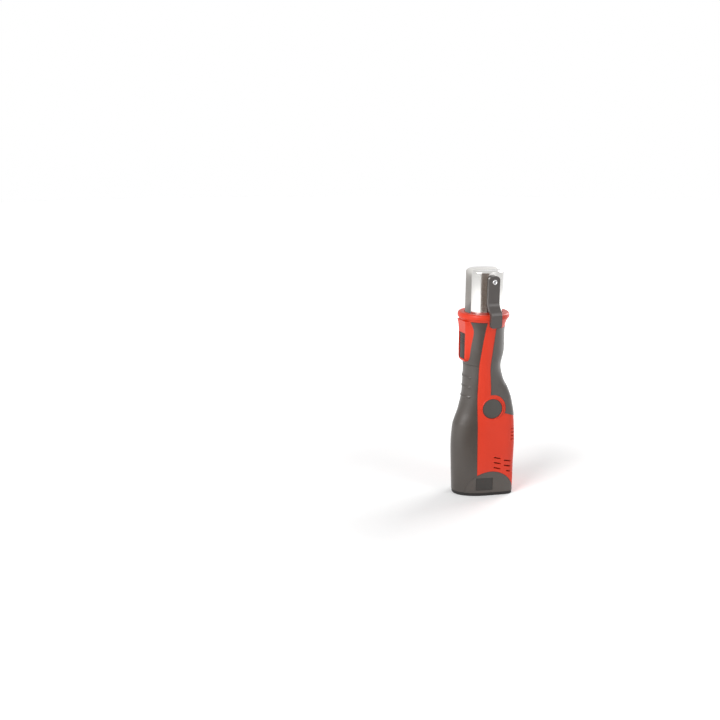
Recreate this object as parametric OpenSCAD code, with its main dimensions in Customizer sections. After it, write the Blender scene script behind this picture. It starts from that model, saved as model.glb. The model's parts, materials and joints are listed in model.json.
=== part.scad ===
// Cordless press tool for pipe fittings: upright body, forked swivel head, slide-out battery.
// Front (start button) is -X, back is +X, the lock lever is on the -Y side, and Z = 0 is the floor.

/* [Head] */
// Diameter of the jaw fork
fork_d = 48; // [42:0.5:50]
// Width of the slot that takes a press jaw
slot_w = 18; // [14:0.5:22]
// Diameter of the locking pin
pin_d = 10; // [8:0.5:12]
// Height of the fork above the pin axis
pin_to_top = 13.3; // [10:0.1:18]
// Diameter of each press roller
roller_d = 15; // [12:0.5:16]
// Width of the lock lever
lever_w = 15; // [11:0.5:18]
// Thickness of the lock lever
lever_t = 5; // [3:0.1:6]
// Length of the lever tab below the collar's top
lever_drop = 15.5; // [8:0.5:18]

/* [Press cylinder] */
// Travel of the press rollers
stroke = 25; // [18:0.5:30]
// Diameter of the piston
piston_d = 24; // [20:0.5:25]
// Wall of the cylinder
cylinder_wall = 4; // [3:0.1:5]
// Diameter of the piston rod
rod_d = 14; // [11:0.5:16]

/* [Drive] */
// Diameter of the motor, gearbox and pump
drive_d = 36; // [34:0.5:40]
// Length of the motor can
motor_len = 48; // [40:1:56]
// Height of the gear stage
gear_h = 13; // [12:0.5:16]
// Height of the pump block
pump_h = 24; // [22:1:30]
// Wall of the ring gear outside its teeth
ring_wall = 1.685; // [1.2:0.005:3]
// Diameter of the motor shaft
shaft_d = 5; // [4:0.1:5.4]

/* [Battery] */
// Diameter of a cell
cell_d = 18; // [17:0.5:19]
// Length of a cell
cell_len = 65; // [60:1:70]
// Thickness of the battery base plate
base_t = 4.5; // [3:0.1:6]
// Highest point of the battery foot
arch_top = 34.3; // [30:0.1:36]
// Radius of the round edge between the housing and the battery foot
arch_r = 32.9; // [30:0.1:33.5]
// Width of a latch button
latch_w = 22; // [16:1:24]

/* [Housing] */
// Wall under the soft grips
wall = 1.8; // [1.4:0.1:2.4]
// Thickness of the soft grips
skin = 1.8; // [1.2:0.1:2.2]
// Reach of the lower body to the front
belly_front = 39.7; // [38:0.1:46]
// Reach of the lower body to the back
belly_back = 42.5; // [41:0.5:48]
// Half width of the lower body
belly_half = 26.5; // [25.5:0.5:30]
// Diameter of the collar rim
collar_d = 66.8; // [64:0.2:72]
// Height of the collar rim
rim_h = 7; // [5:0.5:8]
// Height of the whole collar above the housing
collar_h = 9.9; // [9.5:0.1:12]
// Radius of the round side cap
cap_r = 13.2; // [10:0.1:15]
// Width of the ring round the side cap
ring_w = 1.6; // [1.2:0.1:3]

/* [Controls] */
// Reach of the button nose to the front
nose_front = 29.5; // [29:0.1:33]
// Half width of the start button
button_half = 9.1; // [7:0.1:9.2]
// Height of the start button
button_h = 33.9; // [28:0.1:38]
// Travel of the start button
button_travel = 2.2; // [1.5:0.1:2.4]

/* [Hidden] */
$fn = 72;

// Colours
RED = "#d2452d";
GRIP = "#4c4641";
BLACK = "#262422";
STEEL = "#b9bcbf";
DARK_STEEL = "#77797c";
COPPER = "#b3703a";
BRASS = "#c9a54e";

// Clearances: a running fit, a parting line, and a free gap between bodies
run = 0.05;
part_gap = 0.1;
free = 0.3;
touch = 0.02;

// Heights, stacked from the floor to the top of the fork
cell_z = base_t + 1.5;
cell_top = cell_z + cell_len;
stem_top = cell_top + 7;
deck_t = 2;
deck_z = stem_top + 0.5;
block_z = deck_z + deck_t;
block_h = 4.5;
fan_h = 5;
fan_z = block_z + block_h + 2;
end_cap_h = 4;
end_cap_z = fan_z + fan_h + 1;
can_z = end_cap_z + end_cap_h;
gear_z = can_z + motor_len;
pump_z = gear_z + gear_h;
cylinder_z = pump_z + pump_h;
cylinder_floor = 5;
piston_h = 9;
spring_solid = 11;
gland_h = 5.5;
gland_z = cylinder_z + cylinder_floor + piston_h + stroke + spring_solid;
cylinder_top = gland_z + gland_h;
fork_floor = 3;
slot_z = cylinder_top + 0.2 + fork_floor;
carriage_z = slot_z + free;
carriage_base = 4;
roller_r = roller_d / 2;
roller_x = roller_r + 0.5;
roller_z = carriage_z + carriage_base + free + roller_r;
pin_r = pin_d / 2;
pin_clear = 1;
pin_rise = sqrt(pow(roller_r + pin_r + pin_clear, 2) - pow(roller_x, 2));
pin_z = roller_z + stroke + pin_rise;
fork_top = pin_z + pin_to_top;
housing_top = cylinder_top - 0.4;
collar_top = housing_top + collar_h;
disc_z = can_z + 24;

// Radii about the drive axis
fork_r = fork_d / 2;
drive_r = drive_d / 2;
bore_r = piston_d / 2 + run;
cylinder_r = bore_r - run + cylinder_wall;
rod_r = rod_d / 2;
shank_r = cylinder_r + 4.5;
shank_z = cylinder_top - 21.5;
shaft_r = shaft_d / 2;
shell_t = wall + skin;
waist_r = max(drive_r, cylinder_r) + 3 + shell_t;
neck_r = shank_r + 3.9 + shell_t;
flare_r = neck_r + 2.5;
collar_r = collar_d / 2;
ring_r = cap_r + ring_w;
disc_x = 5.8;
disc_y = -25.5;
disc_turn = [-2.5, 0, -8.7];

// Outer form: height, front, back, half width, widening to the back, front and back roundness
body_sections = [
    [0, -belly_front + 2.7, belly_back - 2, belly_half - 1, 0.18, 2.2, 7.5],
    [arch_top + 5, -belly_front + 1, belly_back - 0.5, belly_half, 0.18, 2.2, 5],
    [cell_top, -belly_front, belly_back, belly_half, 0.18, 2.2, 5],
    [can_z - 3, -belly_front + 1.5, belly_back - 0.5, belly_half - 0.5, 0.18, 2.2, 4.6],
    [can_z + 6, -belly_front + 4, belly_back - 0.7, belly_half - 0.9, 0.16, 2.2, 4.4],
    [can_z + 19, -waist_r - 6.6, belly_back - 1.9, belly_half - 1.5, 0.13, 2.1, 4.2],
    [gear_z - 11, -waist_r - 2.3, belly_back - 5.5, waist_r - 0.2, 0.1, 2.05, 3.8],
    [gear_z + 2, -waist_r - 1, waist_r + 7.9, waist_r - 0.4, 0.06, 2, 3.2],
    [pump_z, -waist_r - 0.5, waist_r + 3, waist_r - 0.4, 0.03, 2, 2.5],
    [pump_z + 18, -waist_r - 0.1, waist_r, waist_r, 0, 2, 2],
    [cylinder_z + 15, -neck_r, neck_r + 0.2, neck_r - 1, 0, 2, 2],
    [housing_top - 11, -neck_r, neck_r, neck_r, 0, 2, 2],
    [housing_top, -flare_r, flare_r, flare_r, 0, 2, 2]
];
section_points = 30;
// Ring numbers that bound the pieces which need only part of the height
foot_last = 2;
front_last = 19;
back_first = 7;
neck_first = 16;
finger_first = 9;

// Points on a smooth curve through four neighbours
function smooth(a, b, c, d, t) =
    (2 * b + (c - a) * t + (2 * a - 5 * b + 4 * c - d) * t * t
        + (3 * b - a - 3 * c + d) * t * t * t) / 2;
function ring_values(s) = let (last = len(s) - 1) [
    for (i = [0:last - 1], t = [0, 0.5])
        smooth(s[max(i - 1, 0)], s[i], s[i + 1], s[min(i + 2, last)], t),
    s[last]
];
body_rings = ring_values(body_sections);

function signed_power(v, n) = sign(v) * pow(abs(v), 2 / n);
// One closed outline of the body, drawn in by an inset
function outline(v, inset, z) = let (
    middle = (v[1] + v[2]) / 2,
    reach = (v[2] - v[1]) / 2 - inset,
    half = v[3] - inset
) [
    for (i = [0:section_points - 1]) let (
        a = 360 * (i + 0.5) / section_points,
        n = cos(a) > 0 ? v[6] : v[5],
        x = signed_power(cos(a), n)
    ) [middle + reach * x, half * (1 + v[4] * x) * signed_power(sin(a), n), z]
];
// The body between two of its rings, drawn in by an inset and lengthened past both ends
module body_form(inset, over = 0, first = 0, last = len(body_rings) - 1) {
    count = section_points;
    rings = [for (i = [first:last]) outline(body_rings[i], inset,
        body_rings[i][0] + (i == first ? -over : i == last ? over : 0))];
    points = [for (r = rings) each r];
    sides = [for (k = [0:last - first - 1], i = [0:count - 1]) let (
        a = k * count + i, b = k * count + (i + 1) % count
    ) each [[a, a + count, b + count], [a, b + count, b]]];
    floor_face = [[for (i = [0:count - 1]) i]];
    top_face = [[for (i = [count - 1:-1:0]) (last - first) * count + i]];
    polyhedron(points, concat(sides, floor_face, top_face));
}

// Placing helpers
module round_y(r, y0, y1, x, z) translate([x, y0, z]) rotate([-90, 0, 0]) cylinder(r = r, h = y1 - y0);
module round_x(r, x0, x1, y, z) translate([x0, y, z]) rotate([0, 90, 0]) cylinder(r = r, h = x1 - x0);
module side_cut(y0, y1) translate([0, y1, 0]) rotate([90, 0, 0]) linear_extrude(y1 - y0) children();
module front_cut(x0, x1) translate([x0, 0, 0]) rotate([90, 0, 90]) linear_extrude(x1 - x0) children();
module box(low, high) translate(low) cube(high - low);
module tube(outer, inner, z0, z1) difference() {
    translate([0, 0, z0]) cylinder(r = outer, h = z1 - z0);
    translate([0, 0, z0 - 1]) cylinder(r = inner, h = z1 - z0 + 2);
}
module mirrored(side) if (side > 0) mirror([0, 1, 0]) children(); else children();

// One coil along Z as an unbroken tube of six sides
module coil(mean_r, wire_r, z0, z1, turns) {
    steps = 10 * turns;
    rise = (z1 - z0 - 2 * wire_r) / steps;
    points = [for (i = [0:steps], j = [0:5]) let (a = 36 * i, r = mean_r + wire_r * cos(60 * j))
        [r * cos(a), r * sin(a), z0 + wire_r + rise * i + wire_r * sin(60 * j)]];
    sides = [for (i = [0:steps - 1], j = [0:5]) let (a = 6 * i + j, b = 6 * i + (j + 1) % 6)
        each [[a, b, b + 6], [a, b + 6, a + 6]]];
    ends = [[for (j = [5:-1:0]) j], [for (j = [0:5]) 6 * steps + j]];
    polyhedron(points, concat(sides, ends));
}

// Side-view regions of the soft pieces
step_z = pump_z + 20.7;
front_edge = [
    [-11.5, 0], [-13.4, can_z - 6], [-13.4, gear_z], [-13.4, step_z], [-7.4, housing_top]
];
back_edge = [[3, gear_z], [1, step_z], [6.6, housing_top]];
far = 80;
nose_z = step_z + 3.8;
nose_back = 14;
nose_base = 20;
back_grip_z = disc_z - 7.2;
back_grip_drop = 6.6;
back_grip_x = [24, 42];
grip_top = cylinder_top - 9;
ring_land = 3.7;
panel_inner = button_half + 1.3;
panel_lap = 1.5;
back_top_x = lookup(grip_top, [for (p = back_edge) [p.y, p.x]]);
module front_grip_region(gap = 0) polygon([
    [-far, 0], [front_edge[0].x - gap, 0], [front_edge[1].x - gap, front_edge[1].y],
    [front_edge[2].x - gap, front_edge[2].y], [front_edge[3].x - gap, step_z - gap], [-far, step_z - gap]
]);
module panel_region(gap = 0) polygon([
    [-far, step_z + gap], [front_edge[3].x - gap, step_z + gap],
    [front_edge[4].x - gap, housing_top - 0.4 - gap], [-far, housing_top - 0.4 - gap]
]);
// The panels meet under the nose
module panel_foot(gap = 0) translate([-far, step_z + gap])
    square([far - nose_back, nose_z + panel_lap - step_z - 2 * gap]);
module back_grip_region(gap = 0) difference() {
    polygon([
        [back_edge[0].x + gap, back_grip_z + gap], [back_edge[0].x + gap, back_edge[0].y],
        [back_edge[1].x + gap, back_edge[1].y], [back_top_x + gap, grip_top - gap], [far, grip_top - gap],
        [far, back_grip_z - back_grip_drop + gap], [back_grip_x[1], back_grip_z - back_grip_drop + gap],
        [back_grip_x[0], back_grip_z + gap]
    ]);
    translate([disc_x, disc_z]) circle(r = ring_r + ring_land + gap);
}

// Battery outline: three cells in a triangle with its point to the front
cell_r = cell_d / 2;
cell_pitch = cell_d + 1.6;
stem_r = cell_r + 2;
stem_x = -2;
cell_places = [for (i = [0:2]) let (a = 180 + 120 * i, d = cell_pitch / sqrt(3))
    [stem_x + d * cos(a), d * sin(a)]];
module stem_outline(gap = 0) hull() for (p = cell_places) translate(p) circle(r = stem_r + gap, $fn = 36);
module stem(z0, z1, gap = 0) translate([0, 0, z0]) linear_extrude(z1 - z0) stem_outline(gap);
// The round edge between the housing and the battery foot, and the room for the foot and its base plate
arch_x = belly_back - arch_r - 3.4;
module arch(gap = 0) round_y(arch_r + gap, -far, far, arch_x, arch_top - arch_r);
module foot_room() {
    arch(free);
    box([-far, -far, -1], [far, far, base_t + free]);
}

// Screws of the housing, entered from the +Y side
screw_places = [
    [-belly_front + 11, can_z - 14], [belly_back - 10, can_z + 2], [drive_r + 7.5, gear_z - 3],
    [-drive_r - 4.6, can_z + 15]
];
screw_r = 1.3;
screw_head_r = 2.6;
screw_boss_r = 4.2;
screw_head_y = 12;
// Ribs that hold the inner parts
rib_t = 2;
rib_stem_z = cell_top - 11;
rib_low_z = can_z + 5;
rib_high_z = gear_z - 8;
rib_pump_z = pump_z + 9;
rib_cylinder_z = cylinder_z + 12;
board_x = 27;
board_t = 1.6;
board_half = 16;
lead_x = 23.6;
lead_y = 5;
lead_r = 1;
module rib_slabs() {
    for (z = [rib_stem_z, rib_low_z, rib_high_z, rib_pump_z, rib_cylinder_z])
        box([-far, -far, z], [far, far, z + rib_t]);
    box([-far, -far, deck_z], [far, far, deck_z + deck_t]);
}
module inner_space() difference() {
    body_form(shell_t, 2);
    rib_slabs();
    for (p = screw_places) round_y(screw_boss_r, -far, far, p.x, p.y);
}
module rib_bores() {
    translate([0, 0, can_z - 2]) cylinder(r = drive_r + touch, h = cylinder_z - can_z + 2 + touch);
    translate([0, 0, cylinder_z]) cylinder(r = cylinder_r + touch, h = housing_top - cylinder_z + 1);
    stem(-1, rib_stem_z + rib_t + 1, free);
    box([board_x - touch, -board_half - touch, rib_stem_z - 1],
        [board_x + board_t + touch, board_half + touch, rib_stem_z + rib_t + 1]);
    box([blade_x[0] - 3, -5, deck_z - 1], [blade_x[2] + 4, 5, deck_z + deck_t + 1]);
    for (s = [-1, 1]) translate([lead_x, s * lead_y, deck_z - 1]) cylinder(r = lead_r + 0.2, h = deck_t + 2);
    translate([0, 0, shank_z - 1]) cylinder(r = shank_r + free, h = far);
}
// Cooling slots: two slanted columns on each side and a short stack on each back corner
vent_l = 10.4;
vent_h = 1.7;
vent_slope = 14;
vent_pitch = 7.1;
vent_x = belly_back - 28;
vent_step = 14.3;
vent_drop = 4.9;
vent_z = arch_top + 4.3;
vent_short = 4;
corner_vent_z = cell_top + 6.3;
corner_vent_pitch = 4.7;
corner_vent_reach = 11;
corner_vent_w = 13;
vent_depth = 8;
module vents() {
    for (row = [0:2], column = [0, 1], s = [-1, 1]) let (less = row == 0 && column == 1 ? vent_short : 0)
        translate([vent_x + vent_step * column, s * (belly_half + 1),
            vent_z + vent_pitch * row - vent_drop * column]) rotate([0, vent_slope, 0])
            translate([less / 2, 0, 0]) cube([vent_l - less, 2 * vent_depth, vent_h], true);
    for (row = [0:3], s = [-1, 1])
        translate([belly_back - 4, s * (belly_half + 0.5), corner_vent_z + corner_vent_pitch * row])
            cube([corner_vent_reach, corner_vent_w, vent_h], true);
}
window_gap = 0.3;
button_z = nose_z + 4;
module button_window(gap) box([-far, -button_half - gap, button_z - gap],
    [-cylinder_r - 5, button_half + gap, button_z + button_h + gap]);

// The round side cap sits in a ring whose face follows the slope of the side
cap_sink = 3;
module disc_place() translate([disc_x, disc_y, disc_z]) rotate(disc_turn) children();

module housing_half(side) mirrored(side) difference() {
    union() {
        intersection() {
            body_form(0);
            box([-far, -far, -1], [far, -part_gap / 2, far * 4]);
        }
        disc_place() round_y(ring_r, 0, 7.4, 0, 0);
    }
    inner_space();
    rib_bores();
    foot_room();
    difference() {
        union() {
            side_cut(-far, far) {
                front_grip_region();
                back_grip_region();
                panel_foot(-touch);
            }
            side_cut(-far, -panel_inner) panel_region(-touch);
        }
        body_form(skin, 2);
    }
    vents();
    button_window(window_gap);
    disc_place() round_y(cap_r + part_gap, -far, cap_sink, 0, 0);
    for (p = screw_places) if (side > 0) {
        round_y(screw_r + 0.2, -screw_head_y - 1, 1, p.x, p.y);
        round_y(screw_head_r + 0.3, -far, -screw_head_y, p.x, p.y);
    } else {
        round_y(screw_r, -9, 1, p.x, p.y);
    }
}
module housing_left() color(RED) housing_half(-1);
module housing_right() color(RED) housing_half(1);
module housing_screws() color(DARK_STEEL) for (p = screw_places) {
    round_y(screw_r - touch, -8.5, screw_head_y + touch, p.x, p.y);
    round_y(screw_head_r, screw_head_y + touch, screw_head_y + 2.2, p.x, p.y);
}

// Collar: flared rim over a waisted neck, with a lip inside the housing
rim_z = collar_top - rim_h;
collar_lip = 4;
module collar_outline(gap = 0) polygon([
    [0, housing_top], [flare_r + 0.9 + gap, housing_top], [collar_r - 1.4 + gap, rim_z - 0.6],
    [collar_r - 1.2 + gap, rim_z - gap], [collar_r - 0.8 + gap, rim_z - gap],
    [collar_r + gap, rim_z + 1], [collar_r + gap, collar_top - 2], [collar_r - 1.6, collar_top + gap],
    [0, collar_top + gap]
]);
module front_collar() color(RED) difference() {
    union() {
        rotate_extrude() collar_outline();
        tube(fork_r + 1.4, shank_r + free, housing_top - collar_lip, housing_top + 1);
    }
    translate([0, 0, housing_top - collar_lip - 1]) cylinder(r = shank_r + free, h = far);
    translate([0, 0, cylinder_top + 0.1]) cylinder(r = fork_r + 0.5, h = far);
}

// Nose: a low red cover that carries the start button, with flanks that slope back to the body
nose_edge = 1;
// Height, setback of the front, half width of the front, half width at the back
nose_sections = [
    [nose_z, 2.2, 4.6, 8.2], [nose_z + 1.1, 0.8, 7, 10], [nose_z + 3, 0.1, button_half + 0.2, 11.6],
    [nose_z + 7.5, 0, button_half + 1.1, 14.7], [nose_z + 18.5, 0, button_half + 1.5, 17.5],
    [nose_z + 36.5, 0, button_half + 1.7, 18.9], [housing_top - 6, -0.8, button_half + 2.1, 19.3],
    [housing_top - 0.2, -1.9, button_half + 2.6, 20.3]
];
function nose_ring(s) = let (x = -nose_front + s[1]) [
    [-nose_base, -s[3], s[0]], [x + nose_edge, -s[2] - 0.8, s[0]], [x + 0.3, -s[2] - 0.2, s[0]],
    [x, -s[2] + 0.8, s[0]], [x, s[2] - 0.8, s[0]], [x + 0.3, s[2] + 0.2, s[0]],
    [x + nose_edge, s[2] + 0.8, s[0]], [-nose_base, s[3], s[0]]
];
module nose_form() let (count = len(nose_ring(nose_sections[0])), last = len(nose_sections) - 1) polyhedron(
    [for (s = nose_sections) each nose_ring(s)],
    [
        for (k = [0:last - 1], i = [0:count - 1]) let (a = k * count + i, b = k * count + (i + 1) % count)
            each [[a, b, b + count], [a, b + count, a + count]],
        [for (i = [count - 1:-1:0]) i], [for (i = [0:count - 1]) last * count + i]
    ]
);
module button_nose() color(RED) difference() {
    nose_form();
    body_form(-part_gap, 0, neck_first);
    rotate_extrude() collar_outline(part_gap);
    button_window(window_gap);
}

// Soft grips and side panels
module grip_layer(proud, first, last) difference() {
    union() {
        body_form(-proud, 0, first, last);
        children();
    }
    body_form(skin - part_gap / 2, 2, first, last);
}
grip_proud = 0.5;
finger_ribs = 3;
finger_pitch = 13.2;
finger_z = can_z + 37.3;
finger_h = 2.4;
finger_proud = 0.8;
finger_half = 14;
module finger_ribs() intersection() {
    body_form(-grip_proud - finger_proud, 0, finger_first, front_last);
    for (i = [0:finger_ribs - 1]) let (z = finger_z + finger_pitch * i)
        box([-far, -finger_half, z], [front_edge[2].x, finger_half, z + finger_h]);
}
module screw_holes() for (p = screw_places) round_y(screw_head_r + 0.4, 5, far, p.x, p.y);
module front_grip() color(GRIP) difference() {
    intersection() {
        grip_layer(grip_proud, 0, front_last) finger_ribs();
        side_cut(-far, far) front_grip_region(part_gap);
    }
    foot_room();
    screw_holes();
}
module back_grip() color(GRIP) difference() {
    intersection() {
        grip_layer(grip_proud, back_first, len(body_rings) - 1);
        side_cut(-far, far) back_grip_region(part_gap);
    }
    screw_holes();
}
module side_panel(side) mirrored(side) intersection() {
    grip_layer(0, neck_first, len(body_rings) - 1);
    union() {
        side_cut(-far, -panel_inner - part_gap) panel_region(part_gap);
        side_cut(-far, -part_gap / 2) panel_foot(part_gap);
    }
}
module side_panel_left() color(GRIP) side_panel(-1);
module side_panel_right() color(GRIP) side_panel(1);
module side_cap(side) mirrored(side) disc_place() translate([0, cap_sink, 0]) rotate([90, 0, 0])
    rotate_extrude() polygon([
        [0, 0], [cap_r, 0], [cap_r, cap_sink - 1], [cap_r - 1, cap_sink - 0.5], [0, cap_sink - 0.3]
    ]);
module side_cap_left() color(BLACK) side_cap(-1);
module side_cap_right() color(BLACK) side_cap(1);

// Motor
can_wall = 1.4;
can_plate = 3;
bearing_r = 5.5;
bearing_h = 3;
magnet_r = drive_r - can_wall - touch;
core_r = drive_r * 25 / 36;
core_z = can_z + 8;
core_h = motor_len - 20;
module motor_can() color(DARK_STEEL) difference() {
    translate([0, 0, can_z]) cylinder(r = drive_r, h = motor_len);
    translate([0, 0, can_z - 1]) cylinder(r = drive_r - can_wall, h = motor_len - can_plate + 1);
    translate([0, 0, can_z]) cylinder(r = bearing_r + touch, h = motor_len + 1);
}
module motor_magnets() color("#3b3d40") for (a = [25, 205]) rotate(a) translate([0, 0, core_z - 2])
    rotate_extrude(angle = 130) translate([core_r + 0.6, 0]) square([magnet_r - core_r - 0.6, core_h + 4]);
module motor_bearings() color(STEEL) {
    tube(bearing_r, shaft_r + run, gear_z - bearing_h, gear_z);
    tube(bearing_r, shaft_r + run, end_cap_z + 1, can_z);
}
brush_z = can_z + 2;
brush_h = 3.4;
comm_r = drive_r * 11 / 36;
module motor_end_cap() color(BLACK) difference() {
    union() {
        translate([0, 0, end_cap_z]) cylinder(r = drive_r, h = end_cap_h);
        for (s = [0, 180]) rotate(s) box([comm_r + 2.5, -4, can_z - 1], [drive_r - 3, 4, brush_z]);
    }
    translate([0, 0, end_cap_z + 1]) cylinder(r = bearing_r + touch, h = far);
    translate([0, 0, end_cap_z - 1]) cylinder(r = shaft_r + free, h = far);
    for (a = [45:90:315]) rotate(a) translate([drive_r - 6, 0, end_cap_z - 1])
        cylinder(r = 2.6, h = end_cap_h + 2);
}
module motor_brushes() color("#2a2a2a") for (s = [0, 180]) rotate(s)
    box([comm_r + run, -2.5, brush_z], [drive_r - 6, 2.5, brush_z + brush_h]);
module motor_shaft() color(STEEL) {
    translate([0, 0, fan_z - 0.5]) cylinder(r = shaft_r, h = sun_z - free - fan_z + 0.5);
    translate([0, 0, sun_z - 1]) cylinder(r = spigot_r, h = gear_face + 1);
}
module armature_core() color(DARK_STEEL) difference() {
    translate([0, 0, core_z]) cylinder(r = core_r, h = core_h);
    translate([0, 0, core_z - 1]) cylinder(r = shaft_r + touch, h = core_h + 2);
    for (a = [0:72:288]) rotate(a) {
        box([core_r - 2, -0.8, core_z - 1], [core_r + 1, 0.8, core_z + core_h + 1]);
        translate([core_r - 4.2, 0, core_z - 1]) cylinder(r = 2.6, h = core_h + 2);
    }
}
module armature_winding() color(COPPER) for (z = [core_z - 2.4, core_z + core_h + touch]) translate([0, 0, z])
    rotate_extrude() polygon([
        [shaft_r + 1, 0], [core_r - 2.6, 0], [core_r - 1.6, 0.8], [core_r - 1.6, 1.8],
        [core_r - 2.4, 2.4 - touch], [shaft_r + 1, 2.4 - touch]
    ]);
module commutator() color(COPPER) difference() {
    tube(comm_r, shaft_r + touch, brush_z - 0.6, core_z - 2.4 - touch);
    for (a = [0:36:324]) rotate(a) box([comm_r - 0.6, -0.25, brush_z - 1], [comm_r + 1, 0.25, core_z]);
}
fan_r = drive_r - 4;
module cooling_fan() color(BLACK) {
    difference() {
        union() {
            translate([0, 0, fan_z]) cylinder(r = 5, h = fan_h);
            translate([0, 0, fan_z]) cylinder(r = fan_r, h = 1.2);
            for (a = [0:40:320]) rotate(a) box([4, -0.6, fan_z + 1], [fan_r, 0.6, fan_z + fan_h]);
        }
        translate([0, 0, fan_z - 1]) cylinder(r = shaft_r + touch, h = fan_h + 2);
    }
}

// Planetary stage: involute teeth with backlash, in mesh at rest
sun_teeth = 12;
planet_teeth = 18;
ring_teeth = sun_teeth + 2 * planet_teeth;
gear_module = (drive_r - ring_wall) / (ring_teeth / 2 + 1.1);
pressure_angle = 25;
backlash = 0.12;
gear_face = 7;
sun_z = gear_z + 2;
orbit_r = gear_module * (sun_teeth + planet_teeth) / 2;
spigot_r = gear_module * sun_teeth * 0.27;
planet_pin_r = 2;
function involute_turn(a) = tan(a) * 180 / PI - a;
function half_tooth(r, base, half) = half + involute_turn(pressure_angle)
    - (r > base ? involute_turn(acos(base / r)) : 0);
// Outline of a toothed wheel; slack widens or narrows each tooth at the pitch circle
function wheel_outline(teeth, tip, root, slack) = let (
    pitch = gear_module * teeth / 2,
    base = pitch * cos(pressure_angle),
    half = 90 / teeth + slack / pitch * 90 / PI,
    radii = [root, max(root, base) + 0.05, (max(root, base) + tip) / 2, tip]
) [
    for (i = [0:teeth - 1]) each [
        for (k = [0:7]) let (r = radii[k < 4 ? k : 7 - k], h = half_tooth(r, base, half),
            a = 360 * i / teeth + (k < 4 ? -h : h)) r * [cos(a), sin(a)]
    ]
];
module wheel(teeth) let (pitch = gear_module * teeth / 2)
    polygon(wheel_outline(teeth, pitch + 0.85 * gear_module, pitch - 1.1 * gear_module, -backlash));
module ring_gear() color(DARK_STEEL) difference() {
    translate([0, 0, gear_z]) cylinder(r = drive_r, h = gear_h);
    translate([0, 0, gear_z - 1]) rotate(180 / ring_teeth) linear_extrude(gear_h + 2)
        let (pitch = gear_module * ring_teeth / 2) polygon(wheel_outline(
            ring_teeth, pitch + 1.1 * gear_module, pitch - 0.8 * gear_module, backlash));
}
module sun_gear() color(STEEL) difference() {
    translate([0, 0, sun_z]) linear_extrude(gear_face) wheel(sun_teeth);
    translate([0, 0, sun_z - 1]) cylinder(r = spigot_r + touch, h = gear_face + 2);
}
module planet(turn) color(STEEL) rotate(turn) translate([orbit_r, 0, sun_z]) difference() {
    rotate(180 / planet_teeth) linear_extrude(gear_face) wheel(planet_teeth);
    translate([0, 0, -1]) cylinder(r = planet_pin_r + run, h = gear_face + 2);
}
module planet_1() planet(0);
module planet_2() planet(120);
module planet_3() planet(240);
carrier_z = sun_z + gear_face + 0.4;
carrier_t = 3;
throw = 1.2;
journal_r = 4;
journal_h = 8;
journal_z = carrier_z + carrier_t + 2;
tail_r = 2.5;
tail_h = 4;
tail_top = journal_z + journal_h + tail_h;
module planet_carrier() color(STEEL) {
    translate([0, 0, carrier_z]) cylinder(r = orbit_r + planet_pin_r + 1.2, h = carrier_t);
    for (a = [0, 120, 240]) rotate(a) translate([orbit_r, 0, sun_z])
        cylinder(r = planet_pin_r, h = carrier_z - sun_z + 1);
    translate([0, 0, carrier_z + 1]) cylinder(r = journal_r - 1, h = journal_z - carrier_z - 0.7);
    translate([-throw, 0, journal_z]) cylinder(r = journal_r, h = journal_h);
    translate([0, 0, journal_z + journal_h - 1]) cylinder(r = tail_r, h = tail_h + 1);
}
roller_bearing_r = 7;
module eccentric_bearing() color(DARK_STEEL) translate([-throw, 0, 0])
    tube(roller_bearing_r, journal_r + touch, journal_z + 0.5, journal_z + journal_h - 0.5);

// Pump: one plunger worked by the eccentric, and a relief valve opposite
pump_room_r = roller_bearing_r + throw + 0.4;
pump_room_top = journal_z + journal_h + 0.4;
plunger_r = 3;
plunger_z = journal_z + journal_h / 2;
plunger_tip = -roller_bearing_r - throw - 0.1;
plug_t = 2.5;
oil_x = -max(bore_r - 1.45, pump_room_r + 1.5);
oil_r = 1.2;
valve_z = cylinder_z - 6;
module pump_block() color("#9a9da0") difference() {
    translate([0, 0, pump_z]) cylinder(r = drive_r, h = pump_h);
    translate([0, 0, pump_z - 1]) cylinder(r = pump_room_r, h = pump_room_top - pump_z + 1);
    translate([0, 0, pump_z - 1]) cylinder(r = tail_r + run, h = tail_top + 0.4 - pump_z + 1);
    round_x(plunger_r + run, -far, 0, 0, plunger_z);
    round_x(plunger_r + run, 0, far, 0, valve_z);
    translate([oil_x, 0, plunger_z]) cylinder(r = oil_r, h = far);
}
module pump_plunger() color(STEEL) round_x(plunger_r, -drive_r + plug_t + touch, plunger_tip, 0, plunger_z);
module pump_plug() color(BRASS)
    round_x(plunger_r + run - touch, -drive_r - 0.6, -drive_r + plug_t, 0, plunger_z);
module relief_valve() color(BRASS) {
    round_x(plunger_r + run - touch, 4, drive_r + 0.2, 0, valve_z);
    translate([drive_r + 0.2, 0, valve_z]) rotate([0, 90, 0]) cylinder(r = plunger_r - 0.6, h = 1.2, $fn = 6);
}

// Press cylinder, piston and rod
piston_z = cylinder_z + cylinder_floor + free;
groove_z = shank_z + 7;
ring_in = cylinder_r - 1.4;
ring_out = cylinder_r + 1.4;
ring_t = 2;
module press_cylinder() color(DARK_STEEL) difference() {
    translate([0, 0, cylinder_z]) cylinder(r = cylinder_r, h = cylinder_top - cylinder_z);
    translate([0, 0, cylinder_z + cylinder_floor]) cylinder(r = bore_r, h = far);
    tube(cylinder_r + 1, ring_in, groove_z - touch, groove_z + ring_t + touch);
    translate([oil_x, 0, cylinder_z - 1]) cylinder(r = oil_r, h = cylinder_floor + 2);
}
module piston() color(STEEL) {
    translate([0, 0, piston_z]) cylinder(r = piston_d / 2, h = piston_h - free);
    translate([0, 0, piston_z + 1]) cylinder(r = rod_r, h = slot_z - 0.1 - piston_z - 1);
}
seal_h = 2;
seal_z = gland_z + 2;
seal_r = rod_r + 2;
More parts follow.
